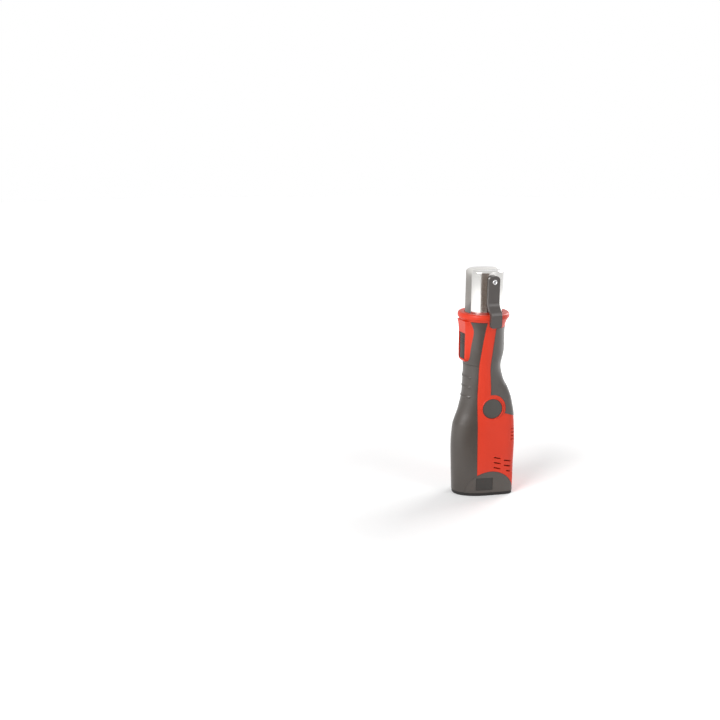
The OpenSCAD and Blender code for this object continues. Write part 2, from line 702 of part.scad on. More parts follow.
module cylinder_gland() color(BRASS) difference() {
    tube(bore_r - touch, rod_r + run, gland_z, cylinder_top);
    tube(seal_r, rod_r - 1, seal_z, seal_z + seal_h);
}
module rod_seal() color("#2b2b2b")
    tube(seal_r - touch, rod_r + run, seal_z + touch, seal_z + seal_h - touch);
spring_wire = 0.9;
module return_spring() color(DARK_STEEL) coil((rod_r + piston_d / 2) / 2, spring_wire,
    piston_z + piston_h - free + touch, gland_z - touch, 5);
module oil_reservoir() color("#3a3633") rotate(-120) translate([0, 0, rib_cylinder_z + rib_t + touch])
    rotate_extrude(angle = 240) translate([cylinder_r + free, 0]) polygon(
        [[0.6, 0], [2.8, 0], [3.4, 0.6], [3.4, 14.4], [2.8, 15], [0.6, 15], [0, 14.4], [0, 0.6]]);
module head_ring() color(STEEL) tube(ring_out, ring_in + touch, groove_z, groove_z + ring_t);
screw_neck_r = 3.5;
button_head_r = 5;
module carriage_screw() color(DARK_STEEL) {
    translate([0, 0, slot_z - 0.1]) cylinder(r = screw_neck_r, h = 2.4);
    translate([0, 0, slot_z + 2.3]) cylinder(r = button_head_r, h = 1.6);
}

// Jaw fork, swivelling on the cylinder
module jaw_fork() color(STEEL) difference() {
    union() {
        rotate_extrude() polygon([
            [0, cylinder_top + 0.4], [fork_r, cylinder_top + 0.4], [fork_r, fork_top - 2.2],
            [fork_r - 2.2, fork_top], [0, fork_top]
        ]);
        translate([0, 0, shank_z]) cylinder(r = shank_r, h = cylinder_top + 1 - shank_z);
    }
    translate([0, 0, shank_z - 1]) cylinder(r = cylinder_r + run, h = cylinder_top + 0.2 - shank_z + 1);
    translate([0, 0, shank_z - 1]) cylinder(r = rod_r + run, h = far);
    tube(ring_out + run, 1, groove_z - 0.1, groove_z + ring_t + 0.1);
    box([-far, -slot_w / 2, slot_z], [far, slot_w / 2, fork_top + 1]);
    round_y(pin_r + run, -far, far, 0, pin_z);
}

// Roller carriage in the slot
carriage_half = slot_w / 2 - free;
cheek_t = 2.5;
carriage_l = roller_x + roller_r + 0.5;
axle_r = 2.5;
cheek_r = roller_r - 2;
module roller_carriage() color(DARK_STEEL) difference() {
    union() {
        box([-carriage_l, -carriage_half, carriage_z],
            [carriage_l, carriage_half, carriage_z + carriage_base]);
        for (s = [-1, 1]) let (y = s > 0 ? carriage_half - cheek_t : -carriage_half) {
            for (x = [-roller_x, roller_x]) round_y(cheek_r, y, y + cheek_t, x, roller_z);
            box([-carriage_l + 2, y, carriage_z + 1], [carriage_l - 2, y + cheek_t, roller_z]);
        }
    }
    translate([0, 0, carriage_z - 1]) cylinder(r = screw_neck_r + run, h = far);
    translate([0, 0, slot_z + 2.2]) cylinder(r = button_head_r + 0.3, h = far);
    for (x = [-roller_x, roller_x]) round_y(axle_r + touch, -far, far, x, roller_z);
}
module roller_axles() color(STEEL) for (x = [-roller_x, roller_x])
    round_y(axle_r, -carriage_half + 0.1, carriage_half - 0.1, x, roller_z);
module roller(x) color(STEEL) let (half = carriage_half - cheek_t - 0.15) difference() {
    round_y(roller_r, -half, half, x, roller_z);
    round_y(axle_r + run, -far, far, x, roller_z);
}
module roller_front() roller(-roller_x);
module roller_back() roller(roller_x);

// Locking pin with its swinging lever on the -Y cheek
lever_y = -fork_r - 0.4;
neck_pin_r = 2.6;
rivet_r = 3.2;
pin_eye_r = 1.2;
pin_eye_h = 4;
rivet_y = lever_y - lever_t - 0.1 - touch;
pin_end = fork_r - 1.5;
pin_l = pin_end - lever_y - 0.2;
module locking_pin() color(STEEL) {
    translate([0, pin_end, pin_z]) rotate([90, 0, 0]) rotate_extrude() polygon([
        [0, 0], [pin_r - 1, 0], [pin_r, 1], [pin_r, pin_l], [neck_pin_r, pin_l],
        [neck_pin_r, pin_end - rivet_y - touch], [pin_eye_r, pin_end - rivet_y - touch],
        [pin_eye_r, pin_end - rivet_y - pin_eye_h], [0, pin_end - rivet_y - pin_eye_h]
    ]);
}
rivet_h = 1.1;
rivet_eye_r = 1.3;
module pin_rivet() color(STEEL) translate([0, rivet_y, pin_z]) rotate([90, 0, 0]) rotate_extrude() polygon([
    [rivet_eye_r, 0], [rivet_r, 0], [rivet_r, rivet_h / 2], [rivet_r - 0.7, rivet_h],
    [rivet_eye_r + 0.5, rivet_h], [rivet_eye_r, rivet_h / 2]
]);
lever_in = collar_r + 0.8;
lever_bottom = collar_top - lever_drop;
knee_z = collar_top + 14;
module lever_side() polygon([
    [lever_y, pin_z + far], [lever_y, knee_z], [-lever_in, collar_top + 1.5], [-lever_in, lever_bottom],
    [-lever_in - lever_t + 0.6, lever_bottom], [-lever_in - lever_t, lever_bottom + 1.2],
    [-lever_in - lever_t, collar_top + 3.2], [lever_y - lever_t, knee_z + 1.8],
    [lever_y - lever_t, pin_z + far]
]);
lever_top = pin_z + lever_w / 2;
lever_high_r = lever_w * 0.36;
lever_low_r = lever_w * 0.22;
module lever_corners(r, z) for (s = [-1, 1]) translate([s * (lever_w / 2 - r), z]) circle(r = r);
module lever_front() {
    translate([-lever_w / 2, lever_bottom + lever_low_r])
        square([lever_w, lever_top - lever_high_r - lever_bottom - lever_low_r]);
    translate([-lever_w / 2 + lever_high_r, pin_z]) square([lever_w - 2 * lever_high_r, lever_top - pin_z]);
    translate([-lever_w / 2 + lever_low_r, lever_bottom - 1])
        square([lever_w - 2 * lever_low_r, lever_low_r + 2]);
    lever_corners(lever_high_r, lever_top - lever_high_r);
    lever_corners(lever_low_r, lever_bottom + lever_low_r);
}
module lock_lever() color(GRIP) difference() {
    intersection() {
        front_cut(-lever_w, lever_w) lever_side();
        side_cut(-far, 0) lever_front();
    }
    round_y(neck_pin_r + run, -far, 0, 0, pin_z);
}

// Battery
latch_x = -2;
latch_z = base_t + 4;
latch_top = arch_top - 9;
latch_depth = 4.5;
latch_travel = 2;
blade_x = [-8, -2, 4];
blade_t = 1;
blade_half = 3;
module latch_room(gap) box([latch_x - latch_w / 2 - gap, -far, latch_z - gap],
    [latch_x + latch_w / 2 + gap, -belly_half + latch_depth + gap, latch_top + gap]);
module battery_case() color(BLACK) difference() {
    union() {
        intersection() {
            body_form(0, 0, 0, foot_last);
            arch();
            box([-far, -far, base_t], [far, far, arch_top]);
        }
        stem(base_t + 1, stem_top);
    }
    for (p = cell_places) translate([p.x, p.y, base_t - 1])
        cylinder(r = cell_r + 0.1, h = cell_top - base_t + 1.2);
    for (s = [-1, 1]) mirrored(s) {
        latch_room(free);
        translate([0, latch_travel, 0]) latch_room(free);
    }
    for (x = blade_x) box([x - blade_t / 2 - free, -blade_half - free, cell_top + 1],
        [x + blade_t / 2 + free, blade_half + free, stem_top + 1]);
}
module battery_base() color(BLACK) intersection() {
    body_form(0.4, 0, 0, foot_last);
    box([-far, -far, 0], [far, far, base_t - touch]);
}
module battery_cells() color("#4d79a6") for (p = cell_places) translate([p.x, p.y, cell_z]) {
    cylinder(r = cell_r, h = cell_len - 1);
    cylinder(r = 3, h = cell_len);
}
module battery_latch(side) mirrored(side) difference() {
    intersection() {
        body_form(0.2, 0, 0, foot_last);
        latch_room(0);
    }
    for (z = [latch_z + 4:3:latch_top - 3]) round_x(0.6, -far, far, -belly_half - 0.9, z);
}
module battery_latch_left() color(GRIP) battery_latch(-1);
module battery_latch_right() color(GRIP) battery_latch(1);

// Electrics
module terminal_block() color(BLACK) difference() {
    box([blade_x[0] - 5, -9, block_z + touch], [blade_x[2] + 5, 9, block_z + block_h]);
    for (x = blade_x) box([x - blade_t / 2 - touch, -blade_half - touch, 0],
        [x + blade_t / 2 + touch, blade_half + touch, far * 2]);
}
module terminal_blades() color(BRASS) for (x = blade_x)
    box([x - blade_t / 2, -blade_half, cell_top + 2.5], [x + blade_t / 2, blade_half, block_z + block_h]);
board_z = rib_stem_z - 20;
module control_board() color("#2f6b45") {
    box([board_x, -board_half, board_z], [board_x + board_t, board_half, deck_z - 0.5]);
    for (y = [-10, 10]) box([board_x + 1, y - 3, board_z + 6], [board_x + board_t + 3, y + 3, board_z + 16]);
    round_x(4, board_x - 6, board_x + 1, 0, board_z + 9);
}
module motor_leads() color("#a02a22") for (s = [-1, 1]) {
    round_x(lead_r, lead_x, board_x - touch, s * lead_y, deck_z - 4);
    translate([lead_x, s * lead_y, deck_z - 4]) sphere(r = lead_r);
    translate([lead_x, s * lead_y, deck_z - 4]) cylinder(r = lead_r, h = end_cap_z + 2 - deck_z + 4);
    translate([lead_x, s * lead_y, end_cap_z + 2]) sphere(r = lead_r);
    round_x(lead_r, sqrt(drive_r * drive_r - pow(lead_y - lead_r, 2)) + 0.1, lead_x, s * lead_y,
        end_cap_z + 2);
}

// Start button, its spring and the switch behind it
button_sink = 0.4;
button_front = nose_front - button_sink;
button_t = 2.4;
button_back = button_front - button_t;
pressed_back = button_back - button_travel;
button_crown = 40;
button_mid_z = button_z + button_h / 2;
button_ribs = 5;
button_rib_pitch = (button_h / 2 - 1) / button_ribs;
button_rib_h = 1.4;
button_rib_proud = 0.4;
button_rim = 1.2;
switch_front = pressed_back - 2.5;
switch_half = 5;
switch_h = 13;
switch_z = rib_cylinder_z + rib_t;
switch_pin_r = 1.2;
module button_plan(front, back, half) intersection() {
    translate([-front + button_crown, 0]) circle(r = button_crown, $fn = 180);
    translate([-front - 1, -half]) square([front + 1 - back, 2 * half]);
}
module start_button() color(BLACK) {
    translate([0, 0, button_z]) linear_extrude(button_h) button_plan(button_front, button_back, button_half);
    for (i = [0:button_ribs - 1]) translate([0, 0, button_mid_z + 1 + button_rib_pitch * i])
        linear_extrude(button_rib_h)
            button_plan(button_front + button_rib_proud, button_back + 0.3, button_half - button_rim);
}
module start_switch() color("#35383b") {
    box([-switch_front, -switch_half, switch_z + touch], [-cylinder_r - 2, switch_half, switch_z + switch_h]);
    round_x(switch_pin_r, -pressed_back + 0.2, -switch_front + 1, 0, switch_z + 3);
}
module button_spring() color(STEEL) translate([-switch_front - touch, 0, switch_z + 8.5]) rotate([0, -90, 0])
    coil(2.6, 0.25, 0, button_back - free - switch_front, 4);

housing_left();
housing_right();
front_collar();
button_nose();
front_grip();
back_grip();
side_panel_left();
side_panel_right();
side_cap_left();
side_cap_right();
housing_screws();
motor_can();
motor_magnets();
motor_end_cap();
motor_brushes();
motor_bearings();
ring_gear();
pump_block();
pump_plunger();
pump_plug();
relief_valve();
press_cylinder();
cylinder_gland();
rod_seal();
return_spring();
oil_reservoir();
head_ring();
start_switch();
control_board();
motor_leads();
terminal_block();
terminal_blades();
motor_shaft();
armature_core();
armature_winding();
commutator();
cooling_fan();
sun_gear();
planet_carrier();
eccentric_bearing();
planet_1();
planet_2();
planet_3();
piston();
carriage_screw();
jaw_fork();
roller_carriage();
roller_axles();
roller_front();
roller_back();
locking_pin();
pin_rivet();
lock_lever();
battery_case();
battery_base();
battery_cells();
battery_latch_left();
battery_latch_right();
start_button();
button_spring();
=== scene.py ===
# %% [markdown]
# # A cordless press tool
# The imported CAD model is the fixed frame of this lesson. It already holds every piece, inside and out, with its
# joints, so nothing here moves or resizes it. What the frame lacks is finish: its moulded shells are lofted through
# few points and look faceted. Each visible shell is made again as a smooth mesh through the same sections and along
# the same seams, gets a procedural material, and rides on the same body as the node that it stands for.
# The front, with the start button, is -X, the back is +X, the lock lever is on the -Y side, and Z = 0 is the floor.

# %% Load the frame
import json
import math

import bmesh
import bpy
import numpy as np
from mathutils import Matrix, Vector

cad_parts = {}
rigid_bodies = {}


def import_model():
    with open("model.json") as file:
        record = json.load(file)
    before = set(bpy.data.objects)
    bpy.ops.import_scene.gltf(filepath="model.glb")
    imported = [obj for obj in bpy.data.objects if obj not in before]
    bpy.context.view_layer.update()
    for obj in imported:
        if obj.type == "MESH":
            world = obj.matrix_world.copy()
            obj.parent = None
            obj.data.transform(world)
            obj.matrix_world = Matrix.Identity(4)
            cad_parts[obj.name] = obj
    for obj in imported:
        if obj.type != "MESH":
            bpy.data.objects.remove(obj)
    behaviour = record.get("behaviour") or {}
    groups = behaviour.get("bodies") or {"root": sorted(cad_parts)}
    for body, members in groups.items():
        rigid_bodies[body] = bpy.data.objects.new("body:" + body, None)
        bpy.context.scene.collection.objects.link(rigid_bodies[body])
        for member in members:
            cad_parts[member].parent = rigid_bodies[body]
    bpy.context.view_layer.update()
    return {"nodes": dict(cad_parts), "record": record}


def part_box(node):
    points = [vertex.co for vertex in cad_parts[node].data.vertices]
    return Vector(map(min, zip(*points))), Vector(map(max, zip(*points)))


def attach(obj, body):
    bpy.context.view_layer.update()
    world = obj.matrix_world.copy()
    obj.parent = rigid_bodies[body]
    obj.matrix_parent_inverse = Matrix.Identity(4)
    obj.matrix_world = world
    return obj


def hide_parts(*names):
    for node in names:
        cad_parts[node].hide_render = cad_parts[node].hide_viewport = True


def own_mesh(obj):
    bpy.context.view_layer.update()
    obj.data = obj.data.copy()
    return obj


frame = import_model()
MM = 0.001
FAR = 70  # Millimetres that reach past every side of the tool


def node_box(name):
    """A node's lowest and highest corner, in millimetres."""
    return [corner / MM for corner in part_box(name)]


print("nodes in the frame:", len(frame["nodes"]))

# %% [markdown]
# ## Heights and radii
# On the real tool every shell ends where another begins, so one wrong height would show as a gap. Reading the
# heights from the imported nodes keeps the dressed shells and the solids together. All values are millimetres.

# %% Sizes read from the nodes
BASE_TOP = node_box("battery_base")[1].z
HOUSING_TOP = node_box("housing_left")[1].z
COLLAR_TOP, COLLAR_R = node_box("front_collar")[1].z, node_box("front_collar")[1].x
RIM_Z = COLLAR_TOP - 7
FORK_LOW, FORK_HIGH = node_box("jaw_fork")
FORK_R, FORK_TOP = FORK_HIGH.x, FORK_HIGH.z
RIVET_LOW, RIVET_HIGH = node_box("pin_rivet")
PIN_Z = (RIVET_LOW.z + RIVET_HIGH.z) / 2
BUTTON_LOW, BUTTON_HIGH = node_box("start_button")
LEVER_LOW, LEVER_HIGH = node_box("lock_lever")
STEP_Z = node_box("front_grip")[1].z + 0.1
NOSE_LOW, NOSE_HIGH = node_box("button_nose")
GRIP_TOP = node_box("back_grip")[1].z + 0.1
SKIN, SEAM = 1.8, 0.12
print(f"housing top {HOUSING_TOP:.1f}, collar top {COLLAR_TOP:.1f}, fork top {FORK_TOP:.1f} mm")

# %% [markdown]
# ## The body's form
# The housing is a tall oval that swells over the battery, narrows to a waist for the hand and flares again under the
# collar. Two mould halves make it on the real tool. A subdivision surface would drift off the solids, so the form is
# a list of sections with a smooth curve through each value: any point of the skin can then be asked for by its angle
# and height, and seams can be laid anywhere on it.

# %% Sections of the body
# Height, front, back, half width, widening to the back, front and back roundness
SECTIONS = np.array([
    (0, -37, 40.5, 25.5, 0.18, 2.2, 7.5),
    (39.3, -38.7, 42, 26.5, 0.18, 2.2, 5),
    (71, -39.7, 42.5, 26.5, 0.18, 2.2, 5),
    (94, -38.2, 42, 26, 0.18, 2.2, 4.6),
    (103, -35.7, 41.8, 25.6, 0.16, 2.2, 4.4),
    (116, -31.2, 40.6, 25, 0.13, 2.1, 4.2),
    (134, -26.9, 37, 24.4, 0.1, 2.05, 3.8),
    (147, -25.6, 32.5, 24.2, 0.06, 2, 3.2),
    (158, -25.1, 27.6, 24.2, 0.03, 2, 2.5),
    (176, -24.7, 24.6, 24.6, 0, 2, 2),
    (197, -28, 28.2, 27, 0, 2, 2),
    (HOUSING_TOP - 11, -28, 28, 28, 0, 2, 2),
    (HOUSING_TOP, -30.5, 30.5, 30.5, 0, 2, 2),
])
BETWEEN = 16


def smooth(points, t):
    """A point on the smooth curve through four neighbours."""
    a, b, c, d = points
    return (2 * b + (c - a) * t + (2 * a - 5 * b + 4 * c - d) * t ** 2 + (3 * b - a - 3 * c + d) * t ** 3) / 2


last = len(SECTIONS) - 1
STATIONS = np.array([
    smooth([SECTIONS[min(max(i + k, 0), last)] for k in (-1, 0, 1, 2)], t)
    for i in range(last) for t in np.arange(0, 1, 1 / BETWEEN)
] + [SECTIONS[last]])
print("stations on the body:", len(STATIONS))


# %% Points of the body
def section(z):
    """Front, back, half width, widening and roundness at any heights."""
    return [np.interp(z, STATIONS[:, 0], STATIONS[:, k]) for k in range(1, 7)]


def body_point(angle, z, inset=0.0):
    """Points on the body: angle 0 is the back, pi the front, and negative angles are the lever's side."""
    front, back, half, widening, n_front, n_back = section(z)
    cosine, sine = np.cos(angle), np.sin(angle)
    power = 2 / np.where(cosine > 0, n_back, n_front)
    along = np.sign(cosine) * np.abs(cosine) ** power
    x = (front + back) / 2 + ((back - front) / 2 - inset) * along
    y = (half - inset) * (1 + widening * along) * np.sign(sine) * np.abs(sine) ** power
    return np.stack(np.broadcast_arrays(x, y, z), axis=-1)


def angle_at_x(x, z):
    """How far round from the back the body reaches a given x."""
    front, back, _, _, n_front, n_back = section(z)
    along = np.clip((x - (front + back) / 2) / ((back - front) / 2), -1, 1)
    power = np.where(along > 0, n_back, n_front) / 2
    return np.arccos(np.sign(along) * np.abs(along) ** power)


print("waist at 176 mm, front to back:", np.round(body_point(np.array([np.pi, 0]), 176)[:, 0], 1))

# %% [markdown]
# ## Seams
# Three curves divide the shell: the edge of the front grip, the edge of the back grip and the round edge over the
# battery foot. The first two are smooth curves through a few points that never overshoot them, since straight lines
# would leave kinks at the waist. The last is a plain arc.

# %% The seam curves
ARCH_R, ARCH_X = 32.9, 6.2
ARCH_Z = 34.3 - ARCH_R
DISC_PLACE, DISC_TURN, DISC_TIP, PAD_R = (5.8, -25.5, 121), -8.7, -2.5, 18.5
GRIP_LOW, GRIP_DROP, GRIP_BEND = 113.8, 6.6, (24, 42)


def through(*points):
    """A smooth function through (z, value) pairs that never overshoots them."""
    z, v = np.array(points, float).T
    slope = np.diff(v) / np.diff(z)
    inner = [2 * a * b / (a + b) if a * b > 0 else 0 for a, b in zip(slope, slope[1:])]
    tangent = np.array([slope[0], *inner, slope[-1]])

    def value(at):
        at = np.clip(at, z[0], z[-1])
        i = np.clip(np.searchsorted(z, at) - 1, 0, len(z) - 2)
        h = z[i + 1] - z[i]
        t = (at - z[i]) / h
        return (v[i] * (1 + 2 * t) * (1 - t) ** 2 + h * tangent[i] * t * (1 - t) ** 2
                + v[i + 1] * t ** 2 * (3 - 2 * t) + h * tangent[i + 1] * t ** 2 * (t - 1))
    return value


FRONT_EDGE = through((0, -11.5), (91, -13.4), (145, -13.41), (STEP_Z, -13.4), (HOUSING_TOP, -7.4))
BACK_EDGE = through((0, 3), (145, 3), (STEP_Z, 1), (HOUSING_TOP, 6.6))


def grip_outline(gap):
    """Side view of the back grip, which runs round the disc's pad and slopes down to the back."""
    (x, _, z), r, tail = DISC_PLACE, PAD_R + gap, GRIP_LOW - GRIP_DROP + gap
    rise = np.linspace(GRIP_TOP - gap, z + PAD_R, 40)
    turn = np.linspace(math.asin((BACK_EDGE(rise[-1]) - x) / r), math.acos((GRIP_LOW - z) / r), 50)
    return ([(BACK_EDGE(up) + gap, up) for up in rise[:-1]]
            + [(x + r * math.sin(a), z + r * math.cos(a)) for a in turn]
            + [(GRIP_BEND[0], GRIP_LOW + gap), (GRIP_BEND[1], tail), (FAR, tail), (FAR, GRIP_TOP - gap)])


print("points round the back grip:", len(grip_outline(0)))

# %% [markdown]
# ## Mesh helpers
# Moulded shells have one even wall and softly rounded edges. So a shell starts as an open sheet of points on the
# body, Solidify gives it its wall, exact booleans cut the seams and openings, and Bevel breaks the sharp edges. Each
# modifier is applied straight away, which leaves plain meshes at the origin.

# %% Objects and grids
def new_object(name, mesh):
    piece = bpy.data.objects.new(name, mesh)
    bpy.context.scene.collection.objects.link(piece)
    return piece


def mesh_object(name, points, faces):
    mesh = bpy.data.meshes.new(name)
    mesh.from_pydata([tuple(p) for p in np.asarray(points, float) * MM], [], faces)
    mesh.update()
    return new_object(name, mesh)


def grid_faces(rows, columns, closed=False):
    """Quads of a grid of points, row by row; closed grids join the last column to the first."""
    span = columns if closed else columns - 1
    return [(r * columns + c, r * columns + (c + 1) % columns, (r + 1) * columns + (c + 1) % columns,
             (r + 1) * columns + c) for r in range(rows - 1) for c in range(span)]


def loft_faces(rows, columns):
    """The same for a closed loft, with a face over each end."""
    last = (rows - 1) * columns
    return grid_faces(rows, columns, closed=True) + [tuple(range(columns))[::-1], tuple(range(last, last + columns))]


def tidy(piece, merge=0.002):
    """Merges doubled points and turns a closed mesh outward."""
    work = bmesh.new()
    work.from_mesh(piece.data)
    bmesh.ops.remove_doubles(work, verts=work.verts, dist=merge * MM)
    if all(not edge.is_boundary for edge in work.edges):
        bmesh.ops.recalc_face_normals(work, faces=work.faces)
    work.to_mesh(piece.data)
    work.free()
    return piece


def join(piece, *others):
    """Adds the meshes of other pieces to this one."""
    work = bmesh.new()
    for part in (piece, *others):
        work.from_mesh(part.data)
    work.to_mesh(piece.data)
    work.free()
    for part in others:
        bpy.data.objects.remove(part)
    return piece


def mirrored(piece, name):
    """A copy on the other side of the tool."""
    copy = new_object(name, piece.data.copy())
    copy.data.transform(Matrix.Scale(-1, 4, (0, 1, 0)))
    copy.data.flip_normals()
    return copy


print("faces of a 3 by 3 grid:", len(grid_faces(3, 3)))

# %% Modifiers, applied at once
# Radii of rounded edges, in millimetres
SHELL_EDGE, FINE_EDGE, SOFT_EDGE, STEEL_EDGE, LEVER_EDGE, RISER_EDGE = 0.3, 0.35, 0.5, 0.45, 0.7, 0.8


def settle(piece):
    """Turns what the modifiers show into the piece's own mesh."""
    bpy.context.view_layer.update()
    shown = piece.evaluated_get(bpy.context.evaluated_depsgraph_get())
    mesh = bpy.data.meshes.new_from_object(shown)
    piece.modifiers.clear()
    piece.data = mesh
    return piece


def thicken(piece, depth):
    """Gives an open sheet a wall behind its face."""
    solid = piece.modifiers.new("wall", "SOLIDIFY")
    solid.thickness, solid.offset, solid.use_even_offset = depth * MM, -1, True
    return settle(piece)


def round_edges(piece, width, segments=3, angle=50):
    bevel = piece.modifiers.new("edges", "BEVEL")
    bevel.width, bevel.segments, bevel.limit_method = width * MM, segments, "ANGLE"
    bevel.angle_limit, bevel.use_clamp_overlap = math.radians(angle), True
    return settle(piece)


def cut(piece, *cutters, how="DIFFERENCE"):
    """Exact boolean with each cutter, which is then removed."""
    for cutter in cutters:
        tool = piece.modifiers.new("cut", "BOOLEAN")
        tool.operation, tool.object, tool.solver = how, cutter, "EXACT"
        settle(piece)
        bpy.data.objects.remove(cutter)
    return tidy(piece, merge=0.01)


def shade(piece, angle=35):
    """Smooth shading that keeps edges sharper than an angle."""
    piece.data.shade_smooth()
    piece.data.set_sharp_from_angle(angle=math.radians(angle))
    return piece


print("modifiers are applied one by one, so no piece keeps any")


# %% Turned, drawn and boxed shapes
def revolve(name, profile, axis="Z", centre=(0, 0, 0), steps=128):
    """Turns a closed or axis-to-axis profile of (radius, height) points about an axis."""
    turn = np.linspace(0, 2 * np.pi, steps, endpoint=False)
    r, h = np.array(profile, float).T
    ring = [r[:, None] * np.cos(turn), r[:, None] * np.sin(turn), np.broadcast_to(h[:, None], (len(r), steps))]
    order = {"Z": (0, 1, 2), "Y": (0, 2, 1)}[axis]
    points = np.stack([ring[k] for k in order], axis=-1).reshape(-1, 3) + np.array(centre, float)
    faces = grid_faces(len(r), steps, closed=True)
    if r[0] > 0 and r[-1] > 0:
        faces += [((len(r) - 1) * steps + c, (len(r) - 1) * steps + (c + 1) % steps, (c + 1) % steps, c)
                  for c in range(steps)]
    return shade(tidy(mesh_object(name, points, faces)))


def prism(name, outline, low, high, lift):
    """A closed outline drawn out from low to high; lift places an outline point and a depth in space."""
    count = len(outline)
    points = [lift(a, b, depth) for depth in (low, high) for a, b in outline]
    faces = [tuple(range(count))[::-1], tuple(range(count, 2 * count))]
    faces += [(i, (i + 1) % count, count + (i + 1) % count, count + i) for i in range(count)]
    return tidy(mesh_object(name, points, faces))


def side_prism(name, outline, low=-FAR, high=FAR):
    """A side view of (x, z) points, drawn out across the tool."""
    return prism(name, outline, low, high, lambda x, z, y: (x, y, z))


def box(name, low, high):
    """A plain box, used only as a cutter."""
    outline = [(low[0], low[2]), (high[0], low[2]), (high[0], high[2]), (low[0], high[2])]
    return side_prism(name, outline, low[1], high[1])


def fillet(corners, radii, steps=5):
    """A polyline whose inner corners are rounded by the given radii."""
    path = [np.array(corners[0], float)]
    for before, corner, after, radius in zip(corners, corners[1:], corners[2:], radii):
        before, corner, after = (np.array(p, float) for p in (before, corner, after))
        u, v = before - corner, after - corner
        reach = min(radius, 0.45 * np.linalg.norm(u), 0.45 * np.linalg.norm(v))
        a, b = corner + u / np.linalg.norm(u) * reach, corner + v / np.linalg.norm(v) * reach
        path += [(1 - t) ** 2 * a + 2 * t * (1 - t) * corner + t ** 2 * b for t in np.linspace(0, 1, steps)]
    return np.array(path + [np.array(corners[-1], float)])


def bore(name, radius, low, high, axis="Z", centre=(0, 0, 0), steps=128):
    """A plain drum, used only as a cutter."""
    return revolve(name, [(0, low), (radius, low), (radius, high), (0, high)], axis, centre, steps)


def arch_cutter(gap):
    """The drum whose round edge is the seam over the battery foot."""
    return bore("arch", ARCH_R + gap, -FAR, FAR, "Y", (ARCH_X, 0, ARCH_Z), 360)


print("points of a filleted corner:", len(fillet([(0, 0), (1, 0), (1, 1)], [0.3])))

# %% [markdown]
# ## Sheets on the body
# A grip or shell is a grid of points between two seams. Even angles would crowd the points at the rounded back
# corners and starve the flat sides, so each row is spaced evenly along the body's own outline instead.

# %% A sheet between two seams
crowd = np.concatenate([[0], np.geomspace(1e-4, 0.25, 60)])
ANGLES = np.unique(np.concatenate(
    [np.linspace(-2 * np.pi, np.pi, 1500)] + [c + s * crowd for c in (-np.pi / 2, 0, np.pi / 2) for s in (-1, 1)]))


def lengths(line):
    """How far along a line each of its points is."""
    return np.concatenate([[0], np.cumsum(np.linalg.norm(np.diff(line, axis=0), axis=1))])


def even_angles(z, start, end, columns):
    """Angles from start to end, evenly spaced along the body's outline at one height."""
    a = np.concatenate([[start], ANGLES[(ANGLES > start) & (ANGLES < end)], [end]])
    length = lengths(body_point(a, z)[:, :2])
    return np.interp(np.linspace(0, length[-1], columns), length, a)


def sheet(name, low, high, limits, columns, rows, inset=0.0):
    """A sheet on the body between two heights, and between two angles that depend on the height.
    inset may be a function of the points' sideways place and height."""
    levels = np.linspace(low, high, rows)
    a = np.array([even_angles(z, *limits(z), columns) for z in levels])
    z = np.repeat(levels[:, None], columns, axis=1)
    depth = inset(body_point(a, z)[..., 1], z) if callable(inset) else inset
    return tidy(mesh_object(name, body_point(a, z, depth).reshape(-1, 3), grid_faces(rows, columns)))


print("angles to choose from:", len(ANGLES))

# %% [markdown]
# ## Node helpers
# Repeated bars and finishes are node trees here. Adding a node, setting it and linking it takes many lines by hand, so
# a few helpers do it, and each tree then reads as a list of what goes into what.

# %% Adding and feeding nodes
def feed(made, *first, **named):
    """Fills a node's inputs in order, then by name with _ for a space; sockets are linked, other values are set."""
    for key, value in [*enumerate(first), *((name.replace("_", " "), value) for name, value in named.items())]:
        if hasattr(value, "is_output"):
            made.id_data.links.new(value, made.inputs[key])
        else:
            made.inputs[key].default_value = value


def node(tree, kind, *first, **named):
    """Adds a node; names with a capital are its inputs, and the others are its settings."""
    made = tree.nodes.new(kind)
    for key in [name for name in named if name[0].islower()]:
        setattr(made, key, named.pop(key))
    feed(made, *first, **named)
    return made


def maths(tree, operation, *values):
    """What a Math node makes of its values."""
    return node(tree, "ShaderNodeMath", *values, operation=operation).outputs[0]


def sockets(group, way, kind, *names):
    """Gives a node group inputs or outputs of one kind."""
    for name in names:
        group.interface.new_socket(name, in_out=way, socket_type="NodeSocket" + kind)


def new_look(name):
    """A new material, its node tree and its surface node."""
    made = bpy.data.materials.new(name)
    made.use_nodes = True
    return made, made.node_tree, made.node_tree.nodes["Principled BSDF"]


print("helpers for nodes:", ", ".join(h.__name__ for h in (feed, node, maths, sockets, new_look)))

# %% [markdown]
# ## A row of bars
# Cooling slots, the ribs on the start button and the grooves on the latches are all rows of equal bars. They could
# be copied in a loop, but one Geometry Nodes tree says the rule once: sweep a rounded profile along a short line,
# bow the line if the face is crowned, and place a copy on every point of a mesh line. The rows are then baked, and
# used as they are or as cutters.

# %% The bar row's node tree
LINE_POINTS, CORNER_POINTS = 17, 5


